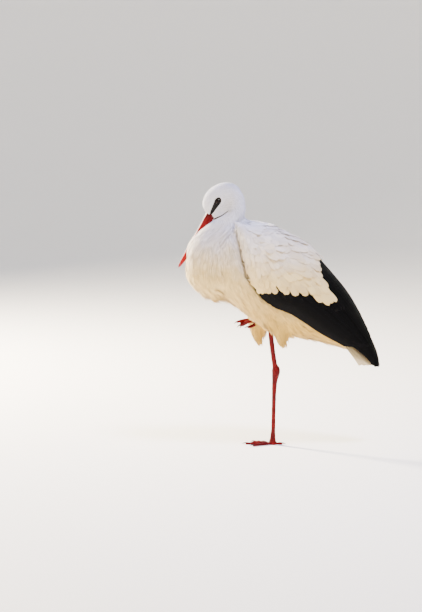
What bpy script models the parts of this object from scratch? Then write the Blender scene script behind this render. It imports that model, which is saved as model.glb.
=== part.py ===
"""White stork asleep on one leg, life size, built as a still museum model.

The bird faces -X and +Y is its right side. It stands on its left foot, whose pad is at the origin,
and its right leg is drawn up into the belly plumage. The bill rests in the breast plumage.
Every piece is one closed solid, and neighbours keep a thin gap. Metres, +Z up.
"""

import math

import bmesh
import bpy
import numpy as np
from mathutils import Matrix, Vector

# Driving dimensions.
GAP = 0.00035  # left between neighbouring pieces
WELD = 0.00005
FLAT_ANGLE, TRUNK_FLAT_ANGLE = 4, 5  # degrees: faces that meet flatter than this are joined
BODY_PITCH = math.radians(38)  # the trunk's axis runs this far below the horizontal, tail down
BODY_ORIGIN = np.array([-0.2117, 0.0, 0.6004])  # where the body's own coordinates t and n are zero
BILL_LENGTH = 0.184
BILL_BASE = np.array([-0.1740, 0.0, 0.6707])  # corner of the mouth
BILL_TIP = np.array([-0.2764, 0.0, 0.5164])
HEAD_BASE = np.array([-0.1827, 0.0, 0.6678])  # middle of the feather edge round the bill
HEAD_AXIS = np.array([0.470, 0.0, 0.883])  # from the bill to the crown
EYE_RADIUS = 0.0072
EYE_ALONG, EYE_OUT = 0.0493, 0.0236  # along the head's axis, and out from the middle plane
SOLE_RADIUS = 0.0115
TOE_RADIUS = 0.0048
CLAW_LENGTH = 0.011
WING_LOW_ANGLE = math.radians(-35)  # how far the wing wraps below its widest line

COLOURS = {  # colour, roughness
    "white_plumage": ((0.88, 0.86, 0.80), 0.85),
    "black_plumage": ((0.02, 0.02, 0.025), 0.55),
    "red_bill": ((0.62, 0.05, 0.03), 0.40),
    "red_leg": ((0.50, 0.09, 0.06), 0.55),
    "claw": ((0.07, 0.05, 0.05), 0.45),
    "eye": ((0.03, 0.02, 0.015), 0.12),
}


# ---------------------------------------------------------------- meshes and cuts
def clear_scene():
    for old in list(bpy.data.objects):
        bpy.data.objects.remove(old)


def material(name):
    found = bpy.data.materials.get(name)
    if found:
        return found
    made = bpy.data.materials.new(name)
    made.use_nodes = True
    colour, roughness = COLOURS[name]
    shader = made.node_tree.nodes["Principled BSDF"]
    shader.inputs["Base Color"].default_value = (*colour, 1)
    shader.inputs["Roughness"].default_value = roughness
    return made


def solid(name, points, faces, finish):
    """A mesh object in the stork collection, its faces turned outwards."""
    mesh = bpy.data.meshes.new(name)
    mesh.from_pydata([tuple(p) for p in points], [], faces)
    shape = bmesh.new()
    shape.from_mesh(mesh)
    bmesh.ops.recalc_face_normals(shape, faces=shape.faces)
    shape.to_mesh(mesh)
    shape.free()
    mesh.materials.append(material(finish))
    made = bpy.data.objects.new(name, mesh)
    STORK.objects.link(made)
    return made


def loft(name, rings, finish):
    """A closed solid through rings of the same number of points, with a flat cap at each end."""
    count, around = len(rings), len(rings[0])
    faces = [list(range(around)), [(count - 1) * around + k for k in range(around)]]
    for i in range(count - 1):
        for k in range(around):
            after = (k + 1) % around
            faces.append(
                [i * around + k, i * around + after, (i + 1) * around + after, (i + 1) * around + k]
            )
    return solid(name, np.concatenate(rings), faces, finish)


def shell(name, outer, inner, finish):
    """A closed plate between two grids of points of the same size."""
    rows, columns = outer.shape[:2]
    count = rows * columns

    def at(i, j, side):
        return side * count + i * columns + j

    faces = []
    for i in range(rows - 1):
        for j in range(columns - 1):
            for side in (0, 1):
                faces.append(
                    [at(i, j, side), at(i + 1, j, side), at(i + 1, j + 1, side), at(i, j + 1, side)]
                )
    for i in range(rows - 1):
        for j in (0, columns - 1):
            faces.append([at(i, j, 0), at(i + 1, j, 0), at(i + 1, j, 1), at(i, j, 1)])
    for j in range(columns - 1):
        for i in (0, rows - 1):
            faces.append([at(i, j, 0), at(i, j + 1, 0), at(i, j + 1, 1), at(i, j, 1)])
    points = np.concatenate([outer.reshape(-1, 3), inner.reshape(-1, 3)])
    return solid(name, points, faces, finish)


def boolean(target, tool, operation):
    """Applies one Boolean to target, and leaves the tool as it is."""
    modifier = target.modifiers.new("cut", "BOOLEAN")
    modifier.operation = operation
    modifier.object = tool
    bpy.context.view_layer.update()
    graph = bpy.context.evaluated_depsgraph_get()
    done = bpy.data.meshes.new_from_object(target.evaluated_get(graph))
    target.modifiers.clear()
    target.data = done
    return weld(target)


def weld(piece):
    """Merges the points that a cut leaves on top of each other."""
    shape = bmesh.new()
    shape.from_mesh(piece.data)
    bmesh.ops.remove_doubles(shape, verts=shape.verts, dist=WELD)
    bmesh.ops.dissolve_degenerate(shape, edges=shape.edges, dist=WELD)
    bmesh.ops.triangulate(shape, faces=[f for f in shape.faces if len(f.verts) > 4])
    shape.to_mesh(piece.data)
    shape.free()
    return piece


def simplified(piece, degrees):
    """Joins faces that lie nearly in one plane."""
    shape = bmesh.new()
    shape.from_mesh(piece.data)
    angle = math.radians(degrees)
    bmesh.ops.dissolve_limit(shape, angle_limit=angle, verts=shape.verts, edges=shape.edges)
    bmesh.ops.triangulate(shape, faces=shape.faces)
    shape.to_mesh(piece.data)
    shape.free()
    return weld(piece)


def swollen(piece, by=GAP):
    """A copy of the piece, grown along its normals, to cut a neighbour clear of it."""
    copy = piece.copy()
    copy.data = piece.data.copy()
    STORK.objects.link(copy)
    shape = bmesh.new()
    shape.from_mesh(copy.data)
    bmesh.ops.remove_doubles(shape, verts=shape.verts, dist=1e-6)
    shape.normal_update()
    for vertex in shape.verts:
        vertex.co += vertex.normal * by
    shape.to_mesh(copy.data)
    shape.free()
    return copy


def drop(*pieces):
    for piece in pieces:
        bpy.data.objects.remove(piece)


def carve(target, *tools, by=GAP):
    """Cuts each tool, a little grown, out of target."""
    for tool in tools:
        cutter = swollen(tool, by)
        boolean(target, cutter, "DIFFERENCE")
        drop(cutter)
    return target


def joined(name, pieces):
    """The Boolean union of the pieces, as one object."""
    first = pieces[0]
    for other in pieces[1:]:
        boolean(first, other, "UNION")
        drop(other)
    first.name = name
    return first


def duplicate(piece, name):
    copy = piece.copy()
    copy.data = piece.data.copy()
    copy.name = name
    STORK.objects.link(copy)
    return copy


def keep_side(piece, point, normal):
    """Keeps the part of piece that lies on the side of the plane that normal points to."""
    bpy.ops.mesh.primitive_cube_add(size=2)
    block = bpy.context.object
    turn = Vector(normal).to_track_quat("Z", "Y").to_matrix().to_4x4()
    block.matrix_world = Matrix.Translation(Vector(point)) @ turn @ Matrix.Translation((0, 0, 1 + GAP / 2))
    boolean(piece, block, "INTERSECT")
    drop(block)
    return piece


# ---------------------------------------------------------------- shapes of sections and paths
def follow(stations, x):
    """Reads the columns after the first at x, on a smooth curve through the stations."""
    table = np.array(stations, float)
    at, rows = table[:, 0], table[:, 1:]
    slope = np.gradient(rows, at, axis=0)
    x = min(max(x, at[0]), at[-1])
    i = min(np.searchsorted(at, x, side="right") - 1, len(at) - 2)
    step = at[i + 1] - at[i]
    s = (x - at[i]) / step
    return (
        (2 * s**3 - 3 * s**2 + 1) * rows[i]
        + (s**3 - 2 * s**2 + s) * step * slope[i]
        + (3 * s**2 - 2 * s**3) * rows[i + 1]
        + (s**3 - s**2) * step * slope[i + 1]
    )


def oval(up, down, half, around=20, power=1.0):
    """Points (across, height) round a section: up and down from its middle line, half its width."""
    angle = np.arange(around) * 2 * math.pi / around
    cosine, sine = np.cos(angle), np.sin(angle)
    height = np.where(cosine > 0, up, down) * np.sign(cosine) * abs(cosine) ** power
    return np.stack([half * sine, height], axis=1)


def body_point(t, y, n):
    """World place of a point t along the trunk, y to the right side and n above its axis."""
    c, s = math.cos(BODY_PITCH), math.sin(BODY_PITCH)
    return BODY_ORIGIN + np.array([t * c + n * s, y, -t * s + n * c])


def limb(name, path, finish, around=12, floor=None):
    """A round limb through (x, y, z, radius) points, flattened where it would pass below the floor."""
    path = np.array(path, float)
    rings = []
    for i, row in enumerate(path):
        before, after = path[max(i - 1, 0), :3], path[min(i + 1, len(path) - 1), :3]
        along = (after - before) / np.linalg.norm(after - before)
        side = np.cross(along, [0, 0, 1.0]) if abs(along[2]) < 0.8 else np.cross(along, [1.0, 0, 0])
        side /= np.linalg.norm(side)
        up = np.cross(side, along)
        ring = row[:3] + row[3] * (oval(1, 1, 1, around) @ np.array([side, up]))
        if floor is not None:
            ring[:, 2] = np.maximum(ring[:, 2], floor)
        rings.append(ring)
    return loft(name, rings, finish)


def refined(path, count):
    """The path read again at count even steps of its smooth curve."""
    table = np.column_stack([np.arange(len(path)), np.array(path, float)])
    return [follow(table, x) for x in np.linspace(0, len(path) - 1, count)]


# ---------------------------------------------------------------- trunk, neck and head
TRUNK = (  # t, top, bottom, half width
    (-0.021, -0.014, -0.036, 0.010),
    (-0.012, 0.010, -0.058, 0.036),
    (0.006, 0.052, -0.088, 0.058),
    (0.035, 0.098, -0.108, 0.074),
    (0.075, 0.133, -0.115, 0.087),
    (0.125, 0.158, -0.100, 0.096),
    (0.190, 0.171, -0.088, 0.099),
    (0.260, 0.184, -0.094, 0.096),
    (0.310, 0.170, -0.086, 0.088),
    (0.345, 0.152, -0.074, 0.081),
    (0.405, 0.124, -0.042, 0.062),
    (0.465, 0.088, -0.018, 0.045),
    (0.515, 0.050, 0.004, 0.032),
    (0.540, 0.034, 0.012, 0.012),
)
TRUNK_MIDDLE = 0.42  # height of the widest line, as a share of the section
NECK = (  # x, z, half depth, half width, from inside the head to inside the breast
    (-0.1189, 0.7294, 0.0290, 0.026),
    (-0.1059, 0.7029, 0.0285, 0.028),
    (-0.1117, 0.6736, 0.0310, 0.032),
    (-0.1363, 0.6414, 0.0380, 0.038),
    (-0.1711, 0.6092, 0.0460, 0.047),
    (-0.1972, 0.5741, 0.0530, 0.056),
    (-0.2030, 0.5302, 0.0480, 0.060),
    (-0.1943, 0.4950, 0.0330, 0.048),
)
HEAD = (  # along, up to the crown side, down to the throat side, half width
    (-0.002, 0.0110, 0.0110, 0.0110),
    (0.006, 0.0215, 0.0150, 0.0155),
    (0.015, 0.0335, 0.0190, 0.0205),
    (0.030, 0.0405, 0.0250, 0.0255),
    (0.048, 0.0425, 0.0320, 0.0285),
    (0.066, 0.0395, 0.0400, 0.0295),
    (0.084, 0.0310, 0.0480, 0.0285),
    (0.100, 0.0175, 0.0520, 0.0245),
    (0.110, 0.0050, 0.0450, 0.0175),
    (0.1150, -0.0080, 0.0320, 0.0080),
)
RUFF_LOCKS = 7
RUFF_SPREAD = math.radians(68)  # the collar reaches this far round from the middle of the breast


def trunk_ring(t, around=22, grow=0.0):
    top, bottom, half = follow(TRUNK, t)
    middle = bottom + TRUNK_MIDDLE * (top - bottom)
    ring = oval(top - middle + grow, middle - bottom + grow, half + grow, around)
    return np.array([body_point(t, y, middle + h) for y, h in ring])


def trunk_loft(name, grow=0.0):
    places = [-0.021, -0.017, -0.010, *np.linspace(0.0, 0.50, 14), 0.52, 0.534, 0.540]
    return loft(name, [trunk_ring(t, grow=grow) for t in places], "white_plumage")


def breast_point(t, angle, lift):
    """A point on the breast, angle round from its lowest line, raised off it by lift."""
    top, bottom, half = follow(TRUNK, t)
    middle = bottom + TRUNK_MIDDLE * (top - bottom)
    down = middle - bottom + lift
    return body_point(t, (half + lift) * math.sin(angle), middle - down * math.cos(angle))


def ruff():
    """The long feather locks of the lower neck, a collar on the breast with its tips free."""
    outer, inner = [], []
    for s in np.linspace(0, 1, 4):
        row_out, row_in = [], []
        for lock in range(RUFF_LOCKS):
            for place, fall in ((0.06, -0.016), (0.5, 0.0), (0.94, -0.016)):
                share = 2 * (lock + place) / RUFF_LOCKS - 1
                tip = 0.150 - 0.012 * (lock % 2) - 0.022 * abs(share) + fall
                t = 0.030 + (tip - 0.030) * s
                ridge = 0.0022 if place == 0.5 else -0.0004
                rise = 0.014 * s**1.8 * (1 - 0.8 * share**4)
                row_out.append(breast_point(t, RUFF_SPREAD * share, 0.0010 + rise + ridge))
                row_in.append(breast_point(t, RUFF_SPREAD * share, -0.006 + rise))
        outer.append(row_out)
        inner.append(row_in)
    return shell("ruff", np.array(outer), np.array(inner), "white_plumage")


def neck_tube():
    rings = []
    rows = refined(NECK, 11)
    for i, (x, z, depth, half) in enumerate(rows):
        before, after = rows[max(i - 1, 0)], rows[min(i + 1, len(rows) - 1)]
        along = np.array([after[0] - before[0], after[1] - before[1]])
        along /= np.linalg.norm(along)
        up = np.array([along[1], 0, -along[0]])
        ring = oval(depth, depth, half, 16)
        rings.append(np.array([np.array([x, y, z]) + up * h for y, h in ring]))
    return loft("neck", rings, "white_plumage")


def head_frame():
    axis = HEAD_AXIS / np.linalg.norm(HEAD_AXIS)
    return axis, np.array([-axis[2], 0, axis[0]])


def skull():
    axis, up = head_frame()
    rings = []
    for s in np.linspace(HEAD[0][0], HEAD[-1][0], 11):
        crown, throat, half = follow(HEAD, s)
        middle = (crown - throat) / 2
        ring = oval(crown - middle, throat + middle, half, 16, 0.94)
        rings.append(
            np.array([HEAD_BASE + axis * s + up * (middle + h) + np.array([0, y, 0]) for y, h in ring])
        )
    return loft("skull", rings, "white_plumage")


def body_pieces():
    """Head, neck and trunk as one body, parted by thin cuts."""
    whole = joined("whole", [trunk_loft("trunk_whole"), neck_tube(), skull(), ruff()])
    jaw = (np.array([-0.1711, 0, 0.6590]), np.array([-0.0783, 0, 0.7088]))
    throat = (np.array([-0.1537, 0, 0.6268]), np.array([-0.1160, 0, 0.5873]))
    shoulder = (np.array([-0.0853, 0, 0.6561]), np.array([-0.2494, 0, 0.5067]))

    def across(cut):
        run = cut[1] - cut[0]
        run /= np.linalg.norm(run)
        return np.array([-run[2], 0, run[0]])

    over_jaw, past_throat, over_shoulder = across(jaw), -across(throat), -across(shoulder)
    head = keep_side(duplicate(whole, "head"), jaw[0], over_jaw)
    lower = keep_side(duplicate(whole, "neck_lower"), shoulder[0], over_shoulder)
    keep_side(lower, jaw[0], -over_jaw)
    upper = duplicate(lower, "neck_upper")
    keep_side(lower, throat[0], past_throat)
    keep_side(upper, throat[0], -past_throat)
    trunk = keep_side(duplicate(whole, "trunk"), shoulder[0], -over_shoulder)
    drop(whole)
    return head, upper, lower, trunk


# ---------------------------------------------------------------- bill and eyes
BILL_DEPTH = (  # along, whole depth, share above the mouth line, half width
    (-0.006, 0.0300, 0.66, 0.0112),
    (0.000, 0.0300, 0.66, 0.0112),
    (0.040, 0.0250, 0.63, 0.0096),
    (0.080, 0.0205, 0.60, 0.0080),
    (0.120, 0.0165, 0.57, 0.0064),
    (0.147, 0.0130, 0.55, 0.0050),
    (0.166, 0.0088, 0.54, 0.0034),
    (0.178, 0.0048, 0.52, 0.0020),
    (BILL_LENGTH, 0.0014, 0.50, 0.0008),
)


def mandible(name, upper):
    """Half of the bill: arched over, or under, the line of the mouth."""
    along = (BILL_TIP - BILL_BASE) / np.linalg.norm(BILL_TIP - BILL_BASE)
    up = np.array([along[2], 0, -along[0]])
    rings = []
    for s in np.linspace(-0.006, BILL_LENGTH, 11):
        depth, share, half = follow(BILL_DEPTH, s)
        height = depth * (share if upper else 1 - share) - GAP / 2
        arch = np.linspace(0, math.pi, 7)
        across = half * np.cos(arch)
        rise = GAP / 2 + height * np.sin(arch) ** (0.85 if upper else 0.7)
        sign = 1 if upper else -1
        rings.append(
            np.array(
                [BILL_BASE + along * s + up * sign * h + np.array([0, y, 0]) for y, h in zip(across, rise)]
            )
        )
    return loft(name, rings, "red_bill")


def eyeball(name, side):
    axis, up = head_frame()
    place = HEAD_BASE + axis * EYE_ALONG + up * 0.001 + np.array([0, side * EYE_OUT, 0])
    bpy.ops.mesh.primitive_uv_sphere_add(segments=12, ring_count=7, radius=EYE_RADIUS, location=place)
    eye = bpy.context.object
    bpy.context.collection.objects.unlink(eye)
    STORK.objects.link(eye)
    eye.name = name
    eye.data.materials.append(material("eye"))
    eye.data.shade_smooth()
    return eye


# ---------------------------------------------------------------- wings
WING = (  # t, half width, top, lower edge, angle of the inner edge
    (0.043, 0.044, 0.112, 0.100, 30),
    (0.060, 0.060, 0.126, 0.090, 38),
    (0.096, 0.088, 0.144, 0.061, 52),
    (0.139, 0.103, 0.159, 0.027, 60),
    (0.180, 0.109, 0.169, 0.000, 67),
    (0.210, 0.1115, 0.174, -0.012, 71),
    (0.250, 0.1115, 0.179, -0.018, 77),
    (0.290, 0.109, 0.177, -0.014, 83),
    (0.330, 0.105, 0.1695, -0.002, 87),
    (0.3625, 0.100, 0.163, 0.001, 89.7),
    (0.435, 0.086, 0.146, 0.005, 89.7),
    (0.5075, 0.066, 0.117, 0.014, 89.6),
    (0.580, 0.045, 0.083, 0.019, 89.5),
    (0.645, 0.028, 0.040, 0.004, 89.3),
)
WHITE_END = (  # share round the wing, t where the white coverts end
    (0.00, 0.295),
    (0.08, 0.298),
    (0.16, 0.302),
    (0.22, 0.318),
    (0.29, 0.324),
    (0.34, 0.334),
    (0.37, 0.362),
    (0.40, 0.420),
    (0.47, 0.413),
    (0.52, 0.402),
    (0.58, 0.384),
    (0.63, 0.361),
    (0.66, 0.330),
    (0.70, 0.310),
    (0.75, 0.289),
    (0.80, 0.262),
    (0.87, 0.248),
    (0.94, 0.230),
    (1.00, 0.220),
)
LAYER_END = (  # share round the wing, t where the coverts have thinned to their edge
    (0.00, 0.310),
    (0.20, 0.335),
    (0.32, 0.365),
    (0.40, 0.426),
    (0.52, 0.412),
    (0.66, 0.362),
    (0.80, 0.285),
    (1.00, 0.235),
)
COVERT_EDGE = 0.0012  # thickness of the coverts at their rear edge
COVERT_MOST = 0.0130
VANE = 0.0018  # thickness of a layer of flight feathers
STEP = 0.0005  # each feather's lower edge stands this far over the next
WING_FRONT = 0.055


def wing_point(t, v, depth, side, least=GAP):
    """A point t along the folded wing and v round it, from the back at 0 to the lower edge at 1."""
    half, top, low, inner_edge = follow(WING, t)
    angle = math.radians(inner_edge) + v * (WING_LOW_ANGLE - math.radians(inner_edge))
    middle = low + 0.3 * (top - low)
    if angle >= 0:
        reach = top - middle
    else:
        reach = (middle - low) / math.sin(-WING_LOW_ANGLE)
    y, n = half * math.cos(angle), middle + reach * math.sin(angle)
    outward = np.array([math.cos(angle) / half, math.sin(angle) / max(reach, 0.005)])
    outward /= np.linalg.norm(outward)
    y, n = y - depth * outward[0], n - depth * outward[1]
    return body_point(t, side * max(y, least), n)


def white_end(v):
    return float(np.interp(v, *np.array(WHITE_END).T))


def under_coverts(t, v):
    """Depth at which the coverts' inner face lies."""
    end = float(np.interp(v, *np.array(LAYER_END).T))
    return min(COVERT_EDGE + 0.04 * max(end + 0.006 - t, 0), COVERT_MOST)


def coverts(name, side):
    """The white feathers over the arm, as one plate with a scalloped rear edge."""
    outer, inner = [], []
    last = len(WHITE_END) - 1
    for s in np.linspace(0, 1, 8):
        row_out, row_in = [], []
        for j, (v, end) in enumerate(WHITE_END):
            end += 0.003 if j % 2 else -0.003
            t = WING_FRONT + (end - WING_FRONT) * s
            full = min(1, (t - WING_FRONT + 0.012) / 0.05) * (0.55 if j in (0, last) else 1)
            crown = 0.003 * (1 - s) if j in (0, last) else 0
            depth = max(under_coverts(t, v) * full, crown + 0.0011)
            row_out.append(wing_point(t, v, crown, side))
            row_in.append(wing_point(t, v, depth, side))
        outer.append(row_out)
        inner.append(row_in)
    return shell(name, np.array(outer), np.array(inner), "white_plumage")


def vanes(name, side, span, tips, start, depth, rows=5):
    """A row of flight feathers side by side over the span of v, each lapping the next lower one."""
    outer, inner = [], []
    count = len(tips)
    for s in np.linspace(0, 1, rows):
        row_out, row_in = [], []
        for i, tip in enumerate(tips):
            for place, fall, lap in ((0.05, 0.013, STEP), (0.45, 0.0, 0), (0.95, 0.011, -STEP)):
                v = span[0] + (span[1] - span[0]) * (i + place) / count
                first = start(v)
                t = first + (tip - fall - first) * s
                outside = depth(t, v) + lap
                row_out.append(wing_point(t, v, outside, side))
                row_in.append(wing_point(t, v, outside + VANE, side))
        outer.append(row_out)
        inner.append(row_in)
    return shell(name, np.array(outer), np.array(inner), "black_plumage")


def outer_layer(t, v):
    return under_coverts(t, v) + 0.0014 + STEP


def secondary_layer(t, v):
    """The secondaries lie at the outside low on the wing, and under the tertials above."""
    return outer_layer(t, v) + (VANE + 2 * STEP + GAP) * min(max((0.45 - v) / 0.07, 0), 1)


def primary_layer(t, v):
    """The primaries come out from under the other layers towards the tip."""
    deep = 2 * (VANE + 2 * STEP + GAP)
    return outer_layer(t, v) + 0.0006 + deep * (1 - 0.35 * min(max((t - 0.585) / 0.04, 0), 1))


def flight_feathers(word, side):
    vanes(
        f"wing_{word}_tertials",
        side,
        (0.004, 0.37),
        (0.500, 0.548, 0.582, 0.578),
        lambda v: white_end(v) - 0.045,
        outer_layer,
        6,
    )
    vanes(
        f"wing_{word}_secondaries",
        side,
        (0.31, 1.0),
        (0.584, 0.578, 0.571, 0.560, 0.548, 0.534, 0.516),
        lambda v: white_end(v) - 0.045,
        secondary_layer,
        4,
    )
    reach = 0.006 if side > 0 else 0
    vanes(
        f"wing_{word}_primaries",
        side,
        (0.06, 0.86),
        (0.624 + reach, 0.632 + reach, 0.638 + reach, 0.633 + reach, 0.628 + reach),
        lambda v: 0.480,
        primary_layer,
        4,
    )


def wing_room(side):
    """The space that the folded wing takes, for cutting the trunk: from outside to its inner face."""
    outer, inner = [], []
    for t in [WING_FRONT - 2 * GAP, 0.075, *np.linspace(0.10, 0.37, 8), 0.43, 0.50, 0.56]:
        first = np.interp(t, [0.33, 0.37], [-0.010, -0.06])
        full = min(1, (t - WING_FRONT + 0.012) / 0.05)
        shares = np.linspace(first, 1.016, 9)
        outer.append([wing_point(t, v, -0.03, side, -0.01) for v in shares])
        inner.append([wing_point(t, v, COVERT_MOST * full + 3 * GAP, side, -0.01) for v in shares])
    return shell(f"room_{side}", np.array(outer), np.array(inner), "white_plumage")


# ---------------------------------------------------------------- tail
TAIL_ROOT, TAIL_END = 0.430, 0.624
TAIL_HALF = (0.019, 0.043)  # half width at the root and at the tip
TAIL_THICK = 0.0020
TAIL_RISE = 0.0368  # height of the tail's ridge above the body's axis, at the root
TAIL_SLOPE = 0.060  # how fast the ridge nears the axis towards the tip
TAIL_ARCH = (9.0, 13.5)  # fall of the sheet on both sides, per metre squared, at the root and at the tip
TAIL_SIDE = 0.140  # length of the outermost feathers
TAIL_SLOT_END = 0.56  # the slot in the trunk runs past the trunk's own end


def tail_point(t, y, height):
    """A point of the tail's arched sheet, height above it."""
    ridge = TAIL_RISE - TAIL_SLOPE * (t - TAIL_ROOT)
    arch = np.interp(t, [TAIL_ROOT, TAIL_END], TAIL_ARCH)
    return body_point(t, y, ridge - arch * y * y + height)


def tail():
    """Twelve tail feathers side by side, the middle pair on top and longest."""
    outer, inner = [], []
    for s in np.linspace(0, 1, 3):
        row_out, row_in = [], []
        for i in range(12):
            for place, fall in ((0.05, 0.010), (0.5, 0.0), (0.95, 0.010)):
                share = 2 * (i + place) / 12 - 1
                tip = TAIL_END - 0.040 * share**2 - fall
                t = TAIL_ROOT + (tip - TAIL_ROOT) * s
                half = TAIL_HALF[0] + (TAIL_HALF[1] - TAIL_HALF[0]) * s
                lap = STEP * (place - 0.5) * (2 if i > 5 else -2)
                row_out.append(tail_point(t, share * half, TAIL_THICK / 2 + lap))
                row_in.append(tail_point(t, share * half, -TAIL_THICK / 2 + lap))
        outer.append(row_out)
        inner.append(row_in)
    return shell("tail", np.array(outer), np.array(inner), "white_plumage")


def tail_room():
    """The slot that the tail's root takes in the trunk."""
    above, below = [], []
    clear = TAIL_THICK / 2 + STEP + 2 * GAP
    for t in np.linspace(TAIL_ROOT - GAP, TAIL_SLOT_END, 4):
        half = TAIL_HALF[0] + (TAIL_HALF[1] - TAIL_HALF[0]) * (t - TAIL_ROOT) / TAIL_SIDE + 2 * GAP
        shares = np.linspace(-1, 1, 9)
        above.append([tail_point(t, half * share, clear) for share in shares])
        below.append([tail_point(t, half * share, -clear) for share in shares])
    return shell("slot", np.array(above), np.array(below), "white_plumage")


# ---------------------------------------------------------------- legs and feet
THIGH_LEFT = (  # x, y, z, half length, half width: the feathered drumstick of the standing leg
    (-0.012, -0.036, 0.425, 0.052, 0.036),
    (-0.004, -0.040, 0.388, 0.047, 0.034),
    (0.004, -0.040, 0.362, 0.038, 0.027),
    (0.020, -0.038, 0.340, 0.023, 0.018),
    (0.019, -0.036, 0.319, 0.011, 0.011),
    (0.017, -0.035, 0.304, 0.003, 0.003),
)
THIGH_RIGHT = (  # the drawn-up leg's drumstick, a lobe that hangs in front of the standing leg
    (-0.030, 0.050, 0.425, 0.050, 0.032),
    (-0.034, 0.053, 0.390, 0.043, 0.029),
    (-0.042, 0.054, 0.355, 0.032, 0.023),
    (-0.046, 0.053, 0.330, 0.019, 0.014),
    (-0.043, 0.052, 0.305, 0.003, 0.003),
)
SHANK_LEFT = (  # x, y, z, radius: bare leg above the heel
    (-0.0105, -0.0365, 0.372, 0.0066),
    (-0.0078, -0.0350, 0.335, 0.0066),
    (-0.0022, -0.0290, 0.285, 0.0063),
    (0.0045, -0.0215, 0.240, 0.0066),
    (0.0070, -0.0195, 0.2315, 0.0080),
)
TARSUS_LEFT = (  # from the heel down to the pad of the foot
    (0.0078, -0.0188, 0.2305, 0.0092),
    (0.0090, -0.0172, 0.2210, 0.0116),
    (0.0078, -0.0158, 0.2080, 0.0104),
    (0.0058, -0.0142, 0.1930, 0.0076),
    (0.0040, -0.0118, 0.1650, 0.0060),
    (0.0028, -0.0072, 0.1050, 0.0052),
    (0.0016, -0.0024, 0.0420, 0.0054),
    (0.0004, -0.0006, 0.0160, 0.0080),
    (0.0000, 0.0000, 0.0075, 0.0108),
    (0.0000, 0.0000, 0.0000, SOLE_RADIUS),
)
TARSUS_RIGHT = (  # drawn up under the belly, from the heel forward to the root of the toes
    (0.1560, 0.0330, 0.3130, 0.0060),
    (0.1520, 0.0328, 0.3145, 0.0105),
    (0.1380, 0.0318, 0.3180, 0.0100),
    (0.1180, 0.0300, 0.3230, 0.0066),
    (0.0500, 0.0240, 0.3400, 0.0056),
    (-0.0200, 0.0140, 0.3575, 0.0058),
    (-0.0400, 0.0110, 0.3620, 0.0075),
    (-0.0480, 0.0100, 0.3630, 0.0060),
)
TOES = (  # name, heading from straight ahead in degrees (towards the left side), length to the claw
    ("inner", -29, 0.060),
    ("middle", 0, 0.076),
    ("outer", 30, 0.064),
    ("hind", 172, 0.026),
)


def thigh(name, stations):
    rings = []
    for x, y, z, length, width in refined(stations, 7):
        angle = np.arange(14) * math.pi / 7
        rings.append(
            np.stack([x + length * np.cos(angle), y + width * np.sin(angle), np.full(14, z)], axis=1)
        )
    return loft(name, rings, "white_plumage")


def tarsus(name, stations, count):
    """A bare length of leg, whose last two stations stay as they are."""
    path = [*refined(stations[:-1], count - 1), stations[-1]]
    return limb(name, path, "red_leg", around=10)


def toe_swell(s):
    """Relative thickness along a toe, with a pad at each joint and a taper to the claw."""
    return (1 - 0.30 * s) * (1 + 0.10 * math.cos(s * 2 * math.pi * 3))


def standing_toes():
    """The left foot flat on the floor: three toes forward and the short one behind."""
    for name, heading, length in TOES:
        a = math.radians(heading)
        ahead = np.array([-math.cos(a), -math.sin(a), 0])
        path = []
        for s in np.linspace(0, 1, 7):
            reach = SOLE_RADIUS + 0.0018 + (length - SOLE_RADIUS) * s
            radius = min(TOE_RADIUS * toe_swell(s), 0.24 * reach - 0.0004)
            path.append([*(ahead * reach)[:2], 0.80 * radius, radius])
        limb(f"toe_left_{name}", path, "red_leg", around=8, floor=0.0)
        root = length + 0.0030
        claw = []
        for s in np.linspace(0, 1, 4):
            radius = 0.0028 * (1 - s) ** 0.6 + 0.0003
            place = ahead * (root + CLAW_LENGTH * s)
            claw.append([place[0], place[1], 0.0034 - 0.0012 * s, radius])
        limb(f"claw_left_{name}", claw, "claw", around=6, floor=0.0004)


HANGING_TOES = (  # name, root offset across, path of (ahead, down) steps to the claw
    ("inner", -0.0085, ((0.000, 0.000), (0.016, 0.001), (0.032, 0.005), (0.046, 0.013))),
    ("middle", 0.0010, ((0.000, 0.000), (0.018, -0.002), (0.038, -0.001), (0.054, 0.004))),
    ("outer", 0.0105, ((0.000, 0.001), (0.015, 0.003), (0.028, 0.008), (0.038, 0.015))),
    ("hind", 0.0010, ((0.002, 0.011), (0.009, 0.015), (0.017, 0.018), (0.023, 0.019))),
)


def hanging_toes():
    """The right foot's toes, loosely closed and pointing forward under the breast."""
    root = np.array([-0.0500, 0.0090, 0.3630])
    toes = []
    for name, across, steps in HANGING_TOES:
        rows = []
        for i, (ahead, down) in enumerate(steps):
            radius = TOE_RADIUS * (0.88 - 0.10 * i)
            rows.append([root[0] - ahead, root[1] + across * (1 - 0.12 * i), root[2] - down, radius])
        path = refined(rows, 6)
        toes.append(limb(f"toe_right_{name}", path, "red_leg", around=8))
        end, before = np.array(path[-1][:3]), np.array(path[-2][:3])
        ahead = (end - before) / np.linalg.norm(end - before)
        drop_by = np.array([0, 0, -0.0022])
        claw = []
        for s in np.linspace(0, 1, 4):
            place = end + ahead * (0.0010 + 0.010 * s) + drop_by * s * s
            claw.append([*place, 0.0027 * (1 - s) ** 0.6 + 0.0003])
        limb(f"claw_right_{name}", claw, "claw", around=6)
    return toes


# ---------------------------------------------------------------- the whole bird
clear_scene()
STORK = bpy.data.collections.new("white_stork")
bpy.context.scene.collection.children.link(STORK)

HEAD_PIECE, NECK_UPPER, NECK_LOWER, TRUNK_PIECE = body_pieces()
BILL = [mandible("bill_upper", True), mandible("bill_lower", False)]
EYES = [eyeball("eye_left", -1), eyeball("eye_right", 1)]
for target in (HEAD_PIECE, NECK_UPPER, NECK_LOWER, TRUNK_PIECE):
    carve(simplified(target, FLAT_ANGLE), *BILL)
carve(HEAD_PIECE, *EYES)

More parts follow.
